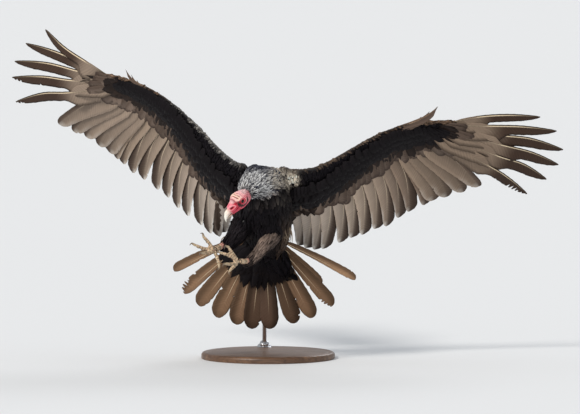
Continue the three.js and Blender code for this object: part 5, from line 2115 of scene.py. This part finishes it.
class VULTURE_OT_claws(bpy.types.Operator):
    """Makes the claws of both feet"""
    bl_idname = "vulture.claws"
    bl_label = "Claws"

    def execute(self, context):
        build_claws()
        return {"FINISHED"}


class VULTURE_OT_wings(bpy.types.Operator):
    """Makes the long feathers, thumb feathers and larger coverts of both wings"""
    bl_idname = "vulture.wings"
    bl_label = "Wing feathers"

    def execute(self, context):
        for side in WINGS:
            build_flight_feathers(side)
            build_alula(side)
            build_coverts(side)
        return {"FINISHED"}


class VULTURE_OT_tail(bpy.types.Operator):
    """Makes the fan of tail feathers and their coverts"""
    bl_idname = "vulture.tail"
    bl_label = "Tail fan"

    def execute(self, context):
        build_tail_feathers()
        build_tail_coverts()
        return {"FINISHED"}


class VULTURE_OT_coat(bpy.types.Operator):
    """Lays the small feathers over the skin and hangs the loose plumes from the flanks"""
    bl_idname = "vulture.coat"
    bl_label = "Small feathers"

    def execute(self, context):
        build_coat()
        build_plumes()
        return {"FINISHED"}


class VULTURE_OT_stand(bpy.types.Operator):
    """Makes the wooden base, the leaning rod and its collar"""
    bl_idname = "vulture.stand"
    bl_label = "Stand"

    def execute(self, context):
        build_base()
        build_rod()
        return {"FINISHED"}


class VULTURE_OT_stage(bpy.types.Operator):
    """Sets up the floor, the lights and the camera"""
    bl_idname = "vulture.stage"
    bl_label = "Stage"

    def execute(self, context):
        build_stage(context.scene.vulture_stage)
        return {"FINISHED"}


STEPS = (
    VULTURE_OT_materials, VULTURE_OT_stage, VULTURE_OT_skin, VULTURE_OT_head, VULTURE_OT_claws,
    VULTURE_OT_wings, VULTURE_OT_tail, VULTURE_OT_coat, VULTURE_OT_stand,
)


class VULTURE_PT_panel(bpy.types.Panel):
    """Lists the steps that build the vulture"""
    bl_idname = "VULTURE_PT_panel"
    bl_label = "Alighting Vulture"
    bl_space_type = "VIEW_3D"
    bl_region_type = "UI"
    bl_category = "Vulture"

    def draw(self, context):
        for group in ("vulture_plumage", "vulture_head", "vulture_stage"):
            settings = getattr(context.scene, group)
            for key in settings.__annotations__:
                self.layout.prop(settings, key)
        for step in STEPS:
            self.layout.operator(step.bl_idname)


CLASSES = (VulturePlumage, VultureHead, VultureStage, *STEPS, VULTURE_PT_panel)


def register():
    for each in CLASSES:
        bpy.utils.register_class(each)
    bpy.types.Scene.vulture_plumage = bpy.props.PointerProperty(type=VulturePlumage)
    bpy.types.Scene.vulture_head = bpy.props.PointerProperty(type=VultureHead)
    bpy.types.Scene.vulture_stage = bpy.props.PointerProperty(type=VultureStage)


def unregister():
    del bpy.types.Scene.vulture_stage
    del bpy.types.Scene.vulture_head
    del bpy.types.Scene.vulture_plumage
    for each in reversed(CLASSES):
        bpy.utils.unregister_class(each)


def main():
    register()
    for step in STEPS:
        group, action = step.bl_idname.split(".")
        getattr(getattr(bpy.ops, group), action)()


if __name__ == "__main__":
    main()
